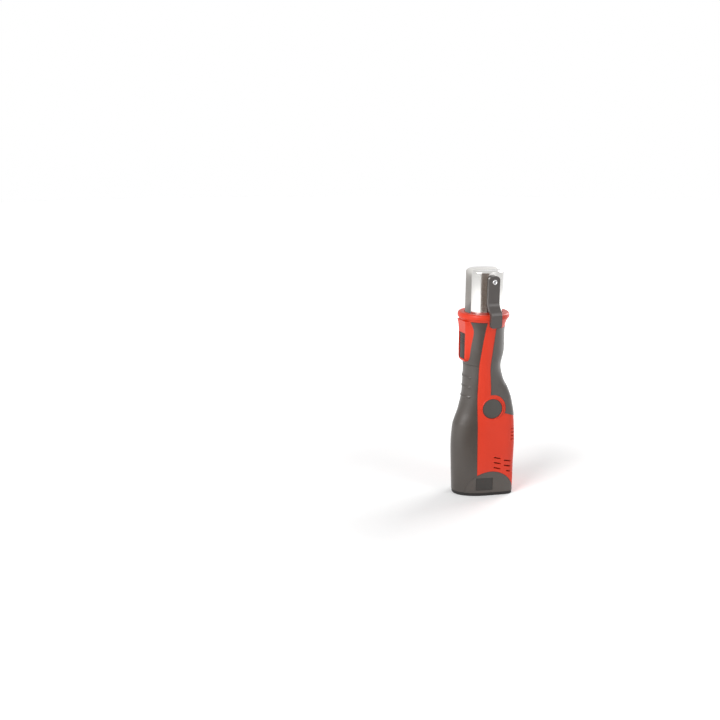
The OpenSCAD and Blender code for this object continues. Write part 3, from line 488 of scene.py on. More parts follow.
def bar_row_tree():
    """A tree whose inputs are a row's count, spacing and bar sizes, in metres and radians."""
    tree = bpy.data.node_groups.new("bar_row", "GeometryNodeTree")
    sockets(tree, "OUTPUT", "Geometry", "Bars")
    sockets(tree, "INPUT", "Int", "Count")
    sockets(tree, "INPUT", "Float", "Pitch", "Length", "Width", "Height", "Corner", "Bow", "Slope")
    size = node(tree, "NodeGroupInput").outputs

    def out(kind, *first, **named):
        return node(tree, kind, *first, **named).outputs[0]

    ends = [out("ShaderNodeCombineXYZ", Y=maths(tree, "MULTIPLY", size["Length"], s)) for s in (-0.5, 0.5)]
    straight = out("GeometryNodeCurvePrimitiveLine", Start=ends[0], End=ends[1])
    line = out("GeometryNodeResampleCurve", Curve=straight, Count=LINE_POINTS)
    across = node(tree, "ShaderNodeSeparateXYZ", out("GeometryNodeInputPosition")).outputs["Y"]
    bow = maths(tree, "MULTIPLY", size["Bow"], maths(tree, "MULTIPLY", across, across))
    bowed = out("GeometryNodeSetPosition", Geometry=line, Offset=out("ShaderNodeCombineXYZ", X=bow))
    upright = out("GeometryNodeSetCurveNormal", Curve=bowed, mode="Z_UP")
    block = out("GeometryNodeCurvePrimitiveQuadrilateral", Width=size["Width"], Height=size["Height"])
    profile = out("GeometryNodeFilletCurve", Curve=block, Radius=size["Corner"], Count=CORNER_POINTS, mode="POLY")
    bar = out("GeometryNodeCurveToMesh", Curve=upright, Profile_Curve=profile, Fill_Caps=True)
    row = out("GeometryNodeMeshLine", Count=size["Count"], Offset=out("ShaderNodeCombineXYZ", Z=size["Pitch"]))
    bars = out("GeometryNodeInstanceOnPoints", Points=row, Instance=bar,
               Rotation=out("ShaderNodeCombineXYZ", Y=size["Slope"]))
    node(tree, "NodeGroupOutput", out("GeometryNodeRealizeInstances", Geometry=bars))
    return tree


BAR_ROW = bar_row_tree()
BAR_INPUT = {s.name: s.identifier for s in BAR_ROW.interface.items_tree if s.in_out == "INPUT"}
BAR_ROUND = 0.45  # A bar's corners as a share of its height


def bar_row(name, start, count, pitch, length, width, height, corner, bow=0.0, slope=0.0, turn=0.0):
    """A baked row of bars along Y that climbs from its start; turn swings the row about Z."""
    piece = new_object(name, bpy.data.meshes.new(name))
    rule = piece.modifiers.new("bars", "NODES")
    rule.node_group = BAR_ROW
    values = {"Count": count, "Pitch": pitch * MM, "Length": length * MM, "Width": width * MM, "Height": height * MM,
              "Corner": corner * MM, "Bow": bow / MM, "Slope": math.radians(slope)}
    for key, value in values.items():
        rule[BAR_INPUT[key]] = value
    tidy(settle(piece))
    piece.data.transform(Matrix.Translation(Vector(start) * MM) @ Matrix.Rotation(math.radians(turn), 4, "Z"))
    return piece


print("inputs of the bar row:", ", ".join(BAR_INPUT))

# %% [markdown]
# ## Finishes
# Moulded plastic shows a fine spark-eroded grain and slow changes of gloss, soft grip a coarser grain, and turned steel
# fine rings or draw lines. Image textures would need unwrapping, so one node group makes two sizes of noise on Object
# coordinates: the small one is a height for Bump, the large one shifts colour and gloss. Stretching its space turns
# the noise into draw lines for metal.

# %% Relief shared by all finishes
def relief_group():
    """Two sizes of noise that give a height for bump and a factor for colour and roughness."""
    group = bpy.data.node_groups.new("fine_relief", "ShaderNodeTree")
    sockets(group, "INPUT", "Float", "Grain", "Cloud")
    sockets(group, "INPUT", "Vector", "Stretch")
    sockets(group, "OUTPUT", "Float", "Height", "Shade")
    inputs, place = node(group, "NodeGroupInput").outputs, node(group, "ShaderNodeTexCoord").outputs["Object"]
    space = node(group, "ShaderNodeVectorMath", place, inputs["Stretch"], operation="MULTIPLY").outputs[0]
    node(group, "NodeGroupOutput", *[
        node(group, "ShaderNodeTexNoise", Vector=space, Scale=inputs[size], Detail=detail).outputs["Fac"]
        for size, detail in (("Grain", 3), ("Cloud", 5))])
    return group


RELIEF = relief_group()
print("relief puts out:", [s.name for s in RELIEF.interface.items_tree if s.in_out == "OUTPUT"])

# %% One recipe for plastic, soft grip and metal
GRAIN_DEPTH, LEAST_ROUGH = 0.05, 0.02
SLOT_FINISH = {}


def finish(name, colour, rough, grain=900, cloud=30, bump=0.1, vary=0.12, rough_vary=0.12, metal=0.0,
           stretch=(1, 1, 1), specular=0.5):
    """A finish whose colour, gloss and relief vary finely over the surface, kept under its name."""
    made, tree, surface = new_look(name)
    relief = node(tree, "ShaderNodeGroup", node_tree=RELIEF, Grain=grain, Cloud=cloud, Stretch=stretch).outputs
    dark, light = [(*[min(c * k, 1) for c in colour], 1) for k in (1 - vary, 1 + vary)]
    tint = node(tree, "ShaderNodeMix", data_type="RGBA", Factor=relief["Shade"], A=dark, B=light)
    gloss = node(tree, "ShaderNodeMapRange", Value=relief["Shade"], To_Min=max(rough - rough_vary, LEAST_ROUGH),
                 To_Max=min(rough + rough_vary, 1))
    raised = node(tree, "ShaderNodeBump", Height=relief["Height"], Strength=bump, Distance=GRAIN_DEPTH * MM)
    feed(surface, Metallic=metal, Specular_IOR_Level=specular, Base_Color=tint.outputs["Result"],
         Roughness=gloss.outputs["Result"], Normal=raised.outputs["Normal"])
    SLOT_FINISH[name] = made
    return made


print("a finish is one Principled surface fed by the relief group")

# %% [markdown]
# ## The tool's own finishes
# The shell is a warm signal red with a slight gloss. The grips, the disc and the battery are one family of warm dark
# greys that differ in grain, and the lever is cast metal in a similar grey. The fork is ground steel, so it mirrors
# the white studio in bands.

# %% Outer finishes
finish("red_shell", (0.66, 0.040, 0.014), 0.38, grain=1400, bump=0.22, vary=0.06, specular=0.3)
finish("soft_grip", (0.056, 0.046, 0.039), 0.34, grain=1100, bump=0.3, specular=0.65)
DISC = finish("cap_grey", (0.06, 0.056, 0.05), 0.45, grain=1500, bump=0.4, vary=0.1)
FOOT = finish("battery_grey", (0.068, 0.058, 0.05), 0.4, grain=1500, bump=0.3, vary=0.1, specular=0.6)
BASE = finish("base_black", (0.022, 0.02, 0.019), 0.5, grain=1300, bump=0.35, specular=0.3)
finish("latch_grey", (0.045, 0.041, 0.038), 0.5, grain=1300, bump=0.35, specular=0.3)
finish("button_black", (0.032, 0.027, 0.025), 0.4, grain=1300, bump=0.2, specular=0.2)
finish("lever_grey", (0.055, 0.046, 0.042), 0.34, grain=1000, bump=0.3, specular=0.6)
FORK = finish("fork_steel", (0.64, 0.63, 0.61), 0.17, grain=420, cloud=160, bump=0.12, vary=0.05,
              rough_vary=0.07, metal=1, stretch=(0.25, 0.25, 9))
SLOT_FINISH.update(cap_black=DISC, battery_black=FOOT)
print("outer finishes:", ", ".join(SLOT_FINISH))

# %% Inner finishes, and a finish on every node
finish("bright_steel", (0.63, 0.63, 0.64), 0.26, grain=700, cloud=90, metal=1, stretch=(1, 4, 1))
finish("dark_steel", (0.24, 0.24, 0.25), 0.42, grain=700, cloud=60, bump=0.15, metal=1)
finish("magnet_grey", (0.06, 0.06, 0.065), 0.6, cloud=80, bump=0.3)
finish("inner_black", (0.03, 0.03, 0.03), 0.5, bump=0.2)
finish("carbon", (0.025, 0.025, 0.027), 0.7, bump=0.3)
finish("pump_alloy", (0.55, 0.56, 0.57), 0.36, cloud=60, bump=0.15, metal=1)
finish("brass", (0.62, 0.43, 0.17), 0.3, cloud=70, metal=1)
finish("copper", (0.48, 0.2, 0.09), 0.38, cloud=120, bump=0.2, metal=1, stretch=(1, 1, 6))
finish("seal_rubber", (0.022, 0.022, 0.022), 0.6, bump=0.25)
finish("board_green", (0.03, 0.14, 0.06), 0.4, cloud=140, bump=0.15, vary=0.25)
finish("lead_red", (0.36, 0.02, 0.015), 0.45, bump=0.15)
finish("cell_blue", (0.07, 0.19, 0.38), 0.35, cloud=60)
for entry in frame["record"]["subparts"]:
    mesh = frame["nodes"][entry["node"]].data
    mesh.materials.clear()
    mesh.materials.append(SLOT_FINISH[entry["material_slot"]])


def dress(piece, body, slot, *replaced, look=None):
    """Gives a piece its slot's finish or another look and its body, and hides the nodes that it stands for."""
    piece.data.materials.clear()
    piece.data.materials.append(look or SLOT_FINISH[slot])
    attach(piece, body)
    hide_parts(*replaced)
    print(f"{piece.name}: {len(piece.data.polygons)} faces on {body}, for {', '.join(replaced)}")


def dress_pair(piece, name, body, slot, replaced):
    """Dresses a piece of the lever's side and its mirror image; {} in a body's name stands for the side."""
    pair = {"left": piece, "right": mirrored(piece, name + "_right")}
    piece.name = name + "_left"
    for side, made in pair.items():
        dress(made, body.format(side), slot, f"{replaced}_{side}")


# %% [markdown]
# ## Red housing
# Each half of the real housing is one moulding: a strip that climbs between the grips, a broad block over the
# battery, and a thinner wall under the grips. Slots on the side and on the back corner let the motor's fan breathe.
# A single sheet for the whole side, cut along the grips' outlines, keeps the strip, the block and the round pad under
# the disc in one smooth surface, which separate strips would not.

# %% Cooling slots
VENT_H, VENT_PITCH, VENT_SLOPE, VENT_L, VENT_REACH = 1.7, 7.1, 14, 10.4, 16
VENT_X, VENT_Y, VENT_Z = 14.5, -27.5, 38.6
VENT_STEP, VENT_DROP, VENT_SHORT, VENT_LAST = 14.3, 4.9, 4, 0.5
CORNER_PLACE, CORNER_COUNT, CORNER_PITCH, CORNER_REACH, CORNER_W = (38.5, -27, 77.3), 4, 4.7, 11, 13
back_x, back_z = VENT_X + VENT_STEP, VENT_Z - VENT_DROP
# Where a row starts, how many slots it has and how long they are
VENT_ROWS = (((VENT_X, VENT_Y, VENT_Z), 3, VENT_L), ((back_x, VENT_Y, back_z + VENT_PITCH), 2, VENT_L),
             ((back_x + VENT_SHORT / 2, VENT_Y, back_z - VENT_LAST), 1, VENT_L - VENT_SHORT))


def vent_cutters():
    """All the slots of the lever's side as one cutter."""
    shape = dict(height=VENT_H, corner=VENT_H * BAR_ROUND)
    return join(*[bar_row("vents", start, count, VENT_PITCH, VENT_REACH, width, slope=VENT_SLOPE, **shape)
                  for start, count, width in VENT_ROWS],
                bar_row("vents", CORNER_PLACE, CORNER_COUNT, CORNER_PITCH, CORNER_W, CORNER_REACH, **shape))


print("slots on one side:", sum(row[1] for row in VENT_ROWS) + CORNER_COUNT)

# %% Openings and rims
BUTTON_HALF, WINDOW_GAP = BUTTON_HIGH.y, 0.3
DISC_HOLE, DISC_RIM, DISC_SEAT, DISC_FLOOR = 13.32, 14.8, 6, 3.1
DISC_SPOT = (Matrix.Translation(Vector(DISC_PLACE) * MM) @ Matrix.Rotation(math.radians(DISC_TURN), 4, "Z")
             @ Matrix.Rotation(math.radians(DISC_TIP), 4, "X"))


def window_cutter(back):
    """The start button's opening, as deep as x = back."""
    return box("window", (-FAR, -BUTTON_HALF - WINDOW_GAP, BUTTON_LOW.z - WINDOW_GAP),
               (back, BUTTON_HALF + WINDOW_GAP, BUTTON_HIGH.z + WINDOW_GAP))


def on_side(piece):
    """Lays a piece that was turned about Y on the disc's place, which follows the slope of the side."""
    piece.data.transform(DISC_SPOT)
    return piece


def disc_ring():
    """The narrow rim round the disc; its face is at the height of the disc's edge."""
    return on_side(revolve("ring", fillet(
        [(DISC_HOLE, DISC_SEAT), (DISC_HOLE, 0.25), (DISC_HOLE + 0.25, 0), (DISC_RIM - 0.55, 0), (DISC_RIM, 0.6),
         (DISC_RIM, DISC_SEAT)], (0.2, 0.2, 0.4, 0.4)), "Y"))


def disc_room():
    """The round hole that the disc sits in."""
    return on_side(bore("room", DISC_HOLE, -FAR, DISC_FLOOR, "Y"))


print("disc's hole:", DISC_HOLE, "mm in radius")

# %% Housing halves
SKIN_WALL, SKIN_INSET, INNER_WALL, INNER_GAP, INNER_WINDOW = 2.4, 0.12, 1.6, 0.15, -21
HALF_SEAM, FOOT_GAP = 0.08, 0.3


def back_seam(z):
    """The turn at which a half ends, just beside the middle plane, however square the back is there."""
    return -(HALF_SEAM / section(z)[2]) ** (section(z)[5] / 2)


def housing_half():
    """The lever's side of the housing."""
    low = BASE_TOP + FOOT_GAP
    skin = sheet("skin", low, HOUSING_TOP - 0.05, lambda z: (-angle_at_x(FRONT_EDGE(z), z), back_seam(z)), 64, 150,
                 inset=SKIN_INSET)
    skin = cut(thicken(skin, SKIN_WALL), arch_cutter(FOOT_GAP), side_prism("grip", grip_outline(0)), vent_cutters(),
               disc_room())
    skin = round_edges(skin, SHELL_EDGE, 2)
    wall = sheet("wall", low, HOUSING_TOP - 0.2, lambda z: (-np.pi, back_seam(z)), 72, 110, inset=SKIN + INNER_GAP)
    wall = cut(thicken(wall, INNER_WALL), arch_cutter(FOOT_GAP), vent_cutters(), window_cutter(INNER_WINDOW),
               disc_room())
    return join(shade(skin), shade(wall), disc_ring())


dress_pair(housing_half(), "housing_shell", "housing", "red_shell", "housing")

# %% [markdown]
# ## Soft grips
# The grips are moulded over the hard shell and stand a little proud of it, so a fine dark line runs along
# their edges. The front one wraps from seam to seam and carries three low finger ribs. Ribs as separate bars would
# show a hard edge where they meet the grip, so they are a rise of the sheet itself that fades out to the sides.

# %% Front grip
GRIP_PROUD, GRIP_DEPTH = 0.26, 2.2
FINGER_Z, FINGER_PITCH, FINGER_H, FINGER_COUNT = 135.5, 13.2, 2.6, 3
FINGER_PROUD, FINGER_HALF, FINGER_FADE = 0.8, 14, 3


def finger_inset(y, z):
    """Ribs stand out across the front, and the grip's borders stay level."""
    fade = np.clip((FINGER_HALF - np.abs(y)) / FINGER_FADE, 0, 1)
    rise = sum(np.exp(-((z - FINGER_Z - FINGER_PITCH * i) / (FINGER_H / 2)) ** 4) for i in range(FINGER_COUNT))
    return -GRIP_PROUD - FINGER_PROUD * rise * fade ** 2 * (3 - 2 * fade)


def front_limits(z):
    reach = angle_at_x(FRONT_EDGE(z) - SEAM, z)
    return -2 * np.pi + reach, -reach


front_grip = sheet("front_grip_skin", BASE_TOP + FOOT_GAP, STEP_Z - SEAM, front_limits, 96, 210, inset=finger_inset)
front_grip = cut(thicken(front_grip, GRIP_DEPTH), arch_cutter(FOOT_GAP))
dress(shade(round_edges(front_grip, SOFT_EDGE)), "housing", "soft_grip", "front_grip")

# %% Back grip and side panels
PANEL_INNER, PANEL_LAP, PANEL_SEAM, GRIP_SPARE = BUTTON_HALF + 0.5, 2.6, 0.06, 2


def back_limits(z):
    reach = angle_at_x(BACK_EDGE(z) - GRIP_SPARE, z)
    return -reach, reach


def panel_limits(z):
    return -np.pi + PANEL_SEAM / section(z)[2], -angle_at_x(FRONT_EDGE(z) - SEAM, z)


back_grip = sheet("back_grip_skin", GRIP_LOW - GRIP_DROP - 1, GRIP_TOP + 1, back_limits, 96, 120, inset=-GRIP_PROUD)
back_grip = cut(thicken(back_grip, GRIP_DEPTH), side_prism("grip", grip_outline(SEAM)), how="INTERSECT")
dress(shade(round_edges(back_grip, SOFT_EDGE)), "housing", "soft_grip", "back_grip")

panel = sheet("side_panel_skin", STEP_Z + SEAM, HOUSING_TOP - 0.5, panel_limits, 36, 70)
nose_room = box("nose_room", (-FAR, -PANEL_INNER, NOSE_LOW.z + PANEL_LAP), (0, FAR, HOUSING_TOP + FAR))
panel = shade(round_edges(cut(thicken(panel, SKIN), nose_room), FINE_EDGE, 2))
dress_pair(panel, "side_panel_skin", "housing", "soft_grip", "side_panel")

# %% [markdown]
# ## Collar
# A red ring closes the top of the housing: its neck carries the flare on outward to a rounded rim, and the steel head
# turns inside it. It is round all about, so it is one profile turned about the tool's axis.

# %% Collar ring
BORE_R, NECK_R, LIP_R, HEAD_R = 20.8, 30.6, FORK_R + 1.4, FORK_R + 0.5
HEAD_SEAT, LIP_LOW = HOUSING_TOP + 0.5, HOUSING_TOP - 4
collar = revolve("collar_ring", fillet(
    [(BORE_R, LIP_LOW), (LIP_R, LIP_LOW), (LIP_R, HOUSING_TOP), (NECK_R, HOUSING_TOP),
     (COLLAR_R - 1.2, RIM_Z - 0.2), (COLLAR_R - 0.8, RIM_Z), (COLLAR_R, RIM_Z + 1), (COLLAR_R, COLLAR_TOP - 2),
     (COLLAR_R - 1.6, COLLAR_TOP), (HEAD_R, COLLAR_TOP), (HEAD_R, HEAD_SEAT), (BORE_R, HEAD_SEAT)],
    (0.5, 0.3, 0.2, 0.5, 0.3, 0.7, 1.2, 1.2, 0.6, 0.3, 0.3)))
dress(collar, "housing", "red_shell", "front_collar")

# %% [markdown]
# ## Nose
# The start button sits in a low red nose whose flanks slope back to the side panels. A box with bevels would not
# follow the tool's swelling neck, so the nose is lofted: its front, its flat face and its foot each follow a smooth
# curve over the height, and every level is a filleted line through them.

# %% Nose with the button's window
NOSE_FRONT, NOSE_BASE, NOSE_EDGE, NOSE_COLUMNS, NOSE_ROWS, NOSE_CROWD = 29.5, 20, 1.6, 90, 90, 1.5
NOSE_UP = (0, 1.1, 3, 7.5, 18.5, 36.5, 48.6, 54.4)
nose_reach = through((0, -2.2), (1.1, -0.8), (3, -0.1), (7.5, 0), (36.5, 0.01), (48.6, 0.8), (54.4, 1.9))
nose_flat = through(*zip(NOSE_UP, (4.7, 7.1, 9.4, 10.3, 10.7, 10.9, 11.7, 12.6)))
nose_foot = through(*zip(NOSE_UP, (8.2, 10, 11.6, 14.7, 17.5, 18.9, 19.3, 20.3)))


def nose_level(z):
    """One level of the nose, from the lever's side round the front, with points spaced evenly along it."""
    up = z - NOSE_LOW.z
    x, flat, foot = -NOSE_FRONT - nose_reach(up), nose_flat(up), nose_foot(up)
    line = fillet([(-NOSE_BASE, -foot), (x, -flat), (x, flat), (-NOSE_BASE, foot)], (NOSE_EDGE, NOSE_EDGE), steps=9)
    length = lengths(line)
    at = np.linspace(0, length[-1], NOSE_COLUMNS)
    return np.stack([*[np.interp(at, length, line[:, k]) for k in (0, 1)], np.full(NOSE_COLUMNS, z)], axis=-1)


nose_z = NOSE_LOW.z + (NOSE_HIGH.z - NOSE_LOW.z) * np.linspace(0, 1, NOSE_ROWS) ** NOSE_CROWD
nose_grid = np.concatenate([nose_level(z) for z in nose_z])
nose = mesh_object("button_nose_skin", nose_grid, loft_faces(NOSE_ROWS, NOSE_COLUMNS))
nose = cut(tidy(nose), window_cutter(5 - NOSE_BASE))
dress(shade(round_edges(nose, SHELL_EDGE, 2)), "housing", "red_shell", "button_nose")

# %% [markdown]
# ## Start button
# The button is a crowned black plate, sunk into the nose, with five ribs on its upper half for the thumb. The plate
# is a bent grid with a wall. The ribs repeat, so they come from the bar row, bowed to the same crown.

# %% Button plate and ribs
BUTTON_CROWN, BUTTON_T, BUTTON_COLUMNS, BUTTON_ROWS = 40, 2.4, 36, 60
RIB_COUNT, RIB_H, RIB_PROUD, RIB_DEPTH, RIB_CORNER, RIB_MARGIN, RIB_SIDE = 5, 1.4, 0.4, 1.6, 0.35, 1, 1.2
BUTTON_MID, BUTTON_FACE = (BUTTON_LOW.z + BUTTON_HIGH.z) / 2, BUTTON_LOW.x + RIB_PROUD
rib_pitch = (BUTTON_HIGH.z - BUTTON_MID - RIB_MARGIN) / RIB_COUNT
y, z = np.meshgrid(np.linspace(BUTTON_HALF, -BUTTON_HALF, BUTTON_COLUMNS),
                   np.linspace(BUTTON_LOW.z, BUTTON_HIGH.z, BUTTON_ROWS))
x = BUTTON_FACE + BUTTON_CROWN - np.sqrt(BUTTON_CROWN ** 2 - y ** 2)
plate = np.stack([x, y, z], axis=-1).reshape(-1, 3)
button = mesh_object("start_button_skin", plate, grid_faces(BUTTON_ROWS, BUTTON_COLUMNS))
button = round_edges(thicken(tidy(button), BUTTON_T), SOFT_EDGE)
ribs = bar_row("ribs", (BUTTON_LOW.x + RIB_DEPTH / 2, 0, BUTTON_MID + RIB_MARGIN + RIB_H / 2), RIB_COUNT,
               rib_pitch, 2 * (BUTTON_HALF - RIB_SIDE), RIB_DEPTH, RIB_H, RIB_CORNER, bow=0.5 / BUTTON_CROWN)
dress(shade(join(button, ribs)), "button", "button_black", "start_button")

# %% [markdown]
# ## Round side discs
# A flat grey disc closes the pivot boss on each side, a touch below its rim. A turned profile gives it the slight
# dome and the soft edge that catch the light, and the same placing as the rim lays it on the sloping side.

# %% Side discs
DISC_R, DISC_BACK = 13.15, 3
disc = revolve("side_disc", fillet(
    [(0, DISC_BACK), (DISC_R, DISC_BACK), (DISC_R, 1.0), (DISC_R - 1, 0.52), (DISC_R * 0.5, 0.36), (0, 0.31)],
    (0.3, 0.5, 0.8, 4)), "Y")
dress_pair(on_side(disc), "side_disc", "housing", "cap_black", "side_cap")

# %% [markdown]
# ## Fork
# The head is a turned steel bar, slotted across its end and drilled for the locking pin. It is made as a machinist
# would: turn it, mill the slot, drill the holes, then break the edges.

# %% Fork head
FORK_FLOOR = HEAD_SEAT + 0.4
SLOT_HALF, SLOT_LOW = 9, node_box("roller_carriage")[0].z - 0.3
PIN_HOLE, ROD_HOLE, SHANK_IN, SHANK_R, SHANK_LAP, FORK_CHAMFER = 5.05, 7.05, 16.05, 20.5, 0.5, 2.2
CUT_REACH, CUT_SPARE = 40, 5
fork = revolve("fork_head", fillet(
    [(0, FORK_FLOOR), (FORK_R, FORK_FLOOR), (FORK_R, FORK_TOP - FORK_CHAMFER), (FORK_R - FORK_CHAMFER, FORK_TOP),
     (0, FORK_TOP)], (0.3, 0.5, 0.5)), steps=192)
shank = revolve("shank", [(SHANK_IN, FORK_LOW.z), (SHANK_R, FORK_LOW.z), (SHANK_R, FORK_FLOOR + SHANK_LAP),
                          (SHANK_IN, FORK_FLOOR + SHANK_LAP)])
cut(fork, box("slot", (-CUT_REACH, -SLOT_HALF, SLOT_LOW), (CUT_REACH, SLOT_HALF, FORK_TOP + CUT_SPARE)),
    bore("pin_hole", PIN_HOLE, -CUT_REACH, CUT_REACH, "Y", (0, 0, PIN_Z), 64),
    bore("rod_hole", ROD_HOLE, FORK_FLOOR - CUT_SPARE, SLOT_LOW + CUT_SPARE))
fork = shade(join(round_edges(fork, STEEL_EDGE, 3, 40), shank), 30)
dress(fork, "head", "fork_steel", "jaw_fork")

# %% [markdown]
# ## Milled slot
# The outside of the head is turned bright, while a milling cutter leaves the slot's walls duller. Both are one piece
# of steel, so the finish gets rougher wherever it lies between the slot's walls.

# %% Duller steel in the slot
MILLED_ROUGH, MILLED_FROM, MILLED_FULL = 0.5, SLOT_HALF + 0.5, SLOT_HALF + 0.1
steel, steel_rough = FORK.node_tree, FORK.node_tree.nodes["Principled BSDF"].inputs["Roughness"]
place = node(steel, "ShaderNodeTexCoord").outputs["Object"]
across = maths(steel, "ABSOLUTE", node(steel, "ShaderNodeSeparateXYZ", place).outputs["Y"])
milled = node(steel, "ShaderNodeMapRange", Value=across, From_Min=MILLED_FROM * MM, From_Max=MILLED_FULL * MM)
dull = node(steel, "ShaderNodeMix", Factor=milled.outputs["Result"], A=steel_rough.links[0].from_socket,
            B=MILLED_ROUGH)
steel.links.new(dull.outputs["Result"], steel_rough)
print("slot walls' roughness:", MILLED_ROUGH)

# %% [markdown]
# ## Lock lever
# The lever is a flat bar that hangs from the pin on the fork's cheek, steps out over the collar's rim and ends in a
# tab for the finger. It could be bent from a box with many loops. A grid whose outward place follows a curve over the
# height gives the same joggle with an even thickness.

# %% Lever arm
LEVER_T, LEVER_HALF, TOP_CORNER, LOW_CORNER, LEVER_HOLE = 5, LEVER_HIGH.x, 5.4, 3.3, 2.65
LEVER_ROWS, LEVER_COLUMNS = 150, 25
lever_in, lever_out = -LEVER_HIGH.y, -LEVER_LOW.y - LEVER_T
KNEE_Z, TAB_Z = COLLAR_TOP + 14, COLLAR_TOP + 1.5
lever_path = through((LEVER_LOW.z, lever_out), (TAB_Z - 2, lever_out), (TAB_Z + 1.5, lever_out - 1.2),
                     (KNEE_Z - 1.5, lever_in + 1), (KNEE_Z + 2.5, lever_in), (LEVER_HIGH.z, lever_in))


def lever_half_width(z):
    """Half width with rounded corners at the top and at the bottom."""
    top = np.clip(TOP_CORNER - (LEVER_HIGH.z - z), 0, TOP_CORNER)
    low = np.clip(LOW_CORNER - (z - LEVER_LOW.z), 0, LOW_CORNER)
    return (LEVER_HALF - TOP_CORNER + np.sqrt(TOP_CORNER ** 2 - top ** 2)
            - LOW_CORNER + np.sqrt(LOW_CORNER ** 2 - low ** 2))


lever_turn = np.linspace(0, np.pi, LEVER_ROWS)
lever_z = (LEVER_HIGH.z + LEVER_LOW.z - (LEVER_HIGH.z - LEVER_LOW.z) * np.cos(lever_turn))[:, None] / 2
lever_x = np.linspace(-1, 1, LEVER_COLUMNS)[None, :] * lever_half_width(lever_z)
lever_grid = np.stack(np.broadcast_arrays(lever_x, -lever_path(lever_z) - LEVER_T, lever_z), axis=-1)
lever = mesh_object("lock_lever_arm", lever_grid.reshape(-1, 3), grid_faces(LEVER_ROWS, LEVER_COLUMNS))
lever = thicken(tidy(lever, merge=0.01), LEVER_T)
hole = bore("hole", LEVER_HOLE, -FAR, -10, "Y", (0, 0, PIN_Z), 48)
dress(shade(round_edges(cut(lever, hole), LEVER_EDGE, 3, 55)), "lever", "lever_grey", "lock_lever")

# %% [markdown]
# ## Battery
# The battery's foot fills the round opening of the housing flush with its sides, and a riser with three cells goes up
# inside. The foot is the body's own form between two heights, kept only inside the drum of the arch, so the joint
# line is the same on both pieces. A separate black base plate closes it below.

# %% Foot, riser and base
LATCH_X, LATCH_HALF, LATCH_LOW, LATCH_HIGH, LATCH_IN, LATCH_TRAVEL, LATCH_GAP = -2, 11, 8.5, 25.3, 22, 2, 0.3
STEM_R, STEM_TOP, STEM_REACH, STEM_X = 11, 78, 11.316, -2


def closed_loft(name, heights, inset):
    """The body between two heights, closed at both ends."""
    sides = [even_angles(heights[0], -np.pi, 0, 80), even_angles(heights[0], 0, np.pi, 80)]
    turn = np.unique(np.concatenate(sides))[:-1]
    points = np.concatenate([body_point(turn, z, d) for z, d in zip(heights, np.broadcast_to(inset, heights.shape))])
    return tidy(mesh_object(name, points, loft_faces(len(heights), len(turn))))


def stem():
    """The battery's riser: three cells in a triangle, as one rounded outline."""
    outline = [(STEM_X + STEM_REACH * math.cos(a) + STEM_R * math.cos(t),
                STEM_REACH * math.sin(a) + STEM_R * math.sin(t))
               for a in math.pi + np.arange(3) * 2 * math.pi / 3
               for t in np.linspace(a - math.pi / 3, a + math.pi / 3, 17)]
    return round_edges(prism("stem", outline, BASE_TOP + 1, STEM_TOP, lambda *point: point), RISER_EDGE)


def latch_room(side, gap=0.0, inward=0.0):
    """A latch's place on one side, with a gap round it and more depth behind it."""
    low, high = sorted((side * (LATCH_IN - inward), side * FAR))
    return box("room", (LATCH_X - LATCH_HALF - gap, low, LATCH_LOW - gap),
               (LATCH_X + LATCH_HALF + gap, high, LATCH_HIGH + gap))


def with_rooms(piece):
    """Cuts room for both latches and their travel."""
    return cut(piece, *[latch_room(side, LATCH_GAP, LATCH_GAP + LATCH_TRAVEL) for side in (-1, 1)])


foot = closed_loft("battery_foot", np.linspace(BASE_TOP + 0.02, ARCH_Z + ARCH_R + 2, 30), 0.0)
foot = with_rooms(cut(foot, arch_cutter(0), how="INTERSECT"))
foot = shade(join(round_edges(foot, FINE_EDGE, 2, 40), with_rooms(stem())))
dress(foot, "battery", "battery_black", "battery_case")
base_heights = np.array([0, 0.15, 0.5, 1, BASE_TOP - 0.4, BASE_TOP - 0.12, BASE_TOP])
base = closed_loft("battery_floor", base_heights, np.array([1.1, 0.75, 0.5, 0.4, 0.4, 0.5, 0.7]))
dress(shade(base), "battery", "battery_black", "battery_base", look=BASE)

# %% [markdown]
# ## Battery latches
# A press button on each side frees the battery. Its face continues the foot's surface, with fine grooves for the
# fingertip, so it is cut from the same loft, and the grooves are a bar row turned along the tool.

# %% Latches
GROOVE_Z, GROOVE_PITCH, GROOVE_SIZE, GROOVE_Y, GROOVE_COUNT = 12.5, 3, 1.2, -27.4, 4
latch = closed_loft("latch", np.linspace(LATCH_LOW - 2, LATCH_HIGH + 2, 60), 0.2)
latch = cut(latch, latch_room(-1), how="INTERSECT")
grooves = bar_row("grooves", (LATCH_X, GROOVE_Y, GROOVE_Z), GROOVE_COUNT, GROOVE_PITCH, FAR, GROOVE_SIZE,
                  GROOVE_SIZE, GROOVE_SIZE * BAR_ROUND, turn=90)
latch = cut(latch, grooves)
dress_pair(shade(round_edges(latch, FINE_EDGE, 2, 45)), "latch", "{}_latch", "latch_grey", "battery_latch")
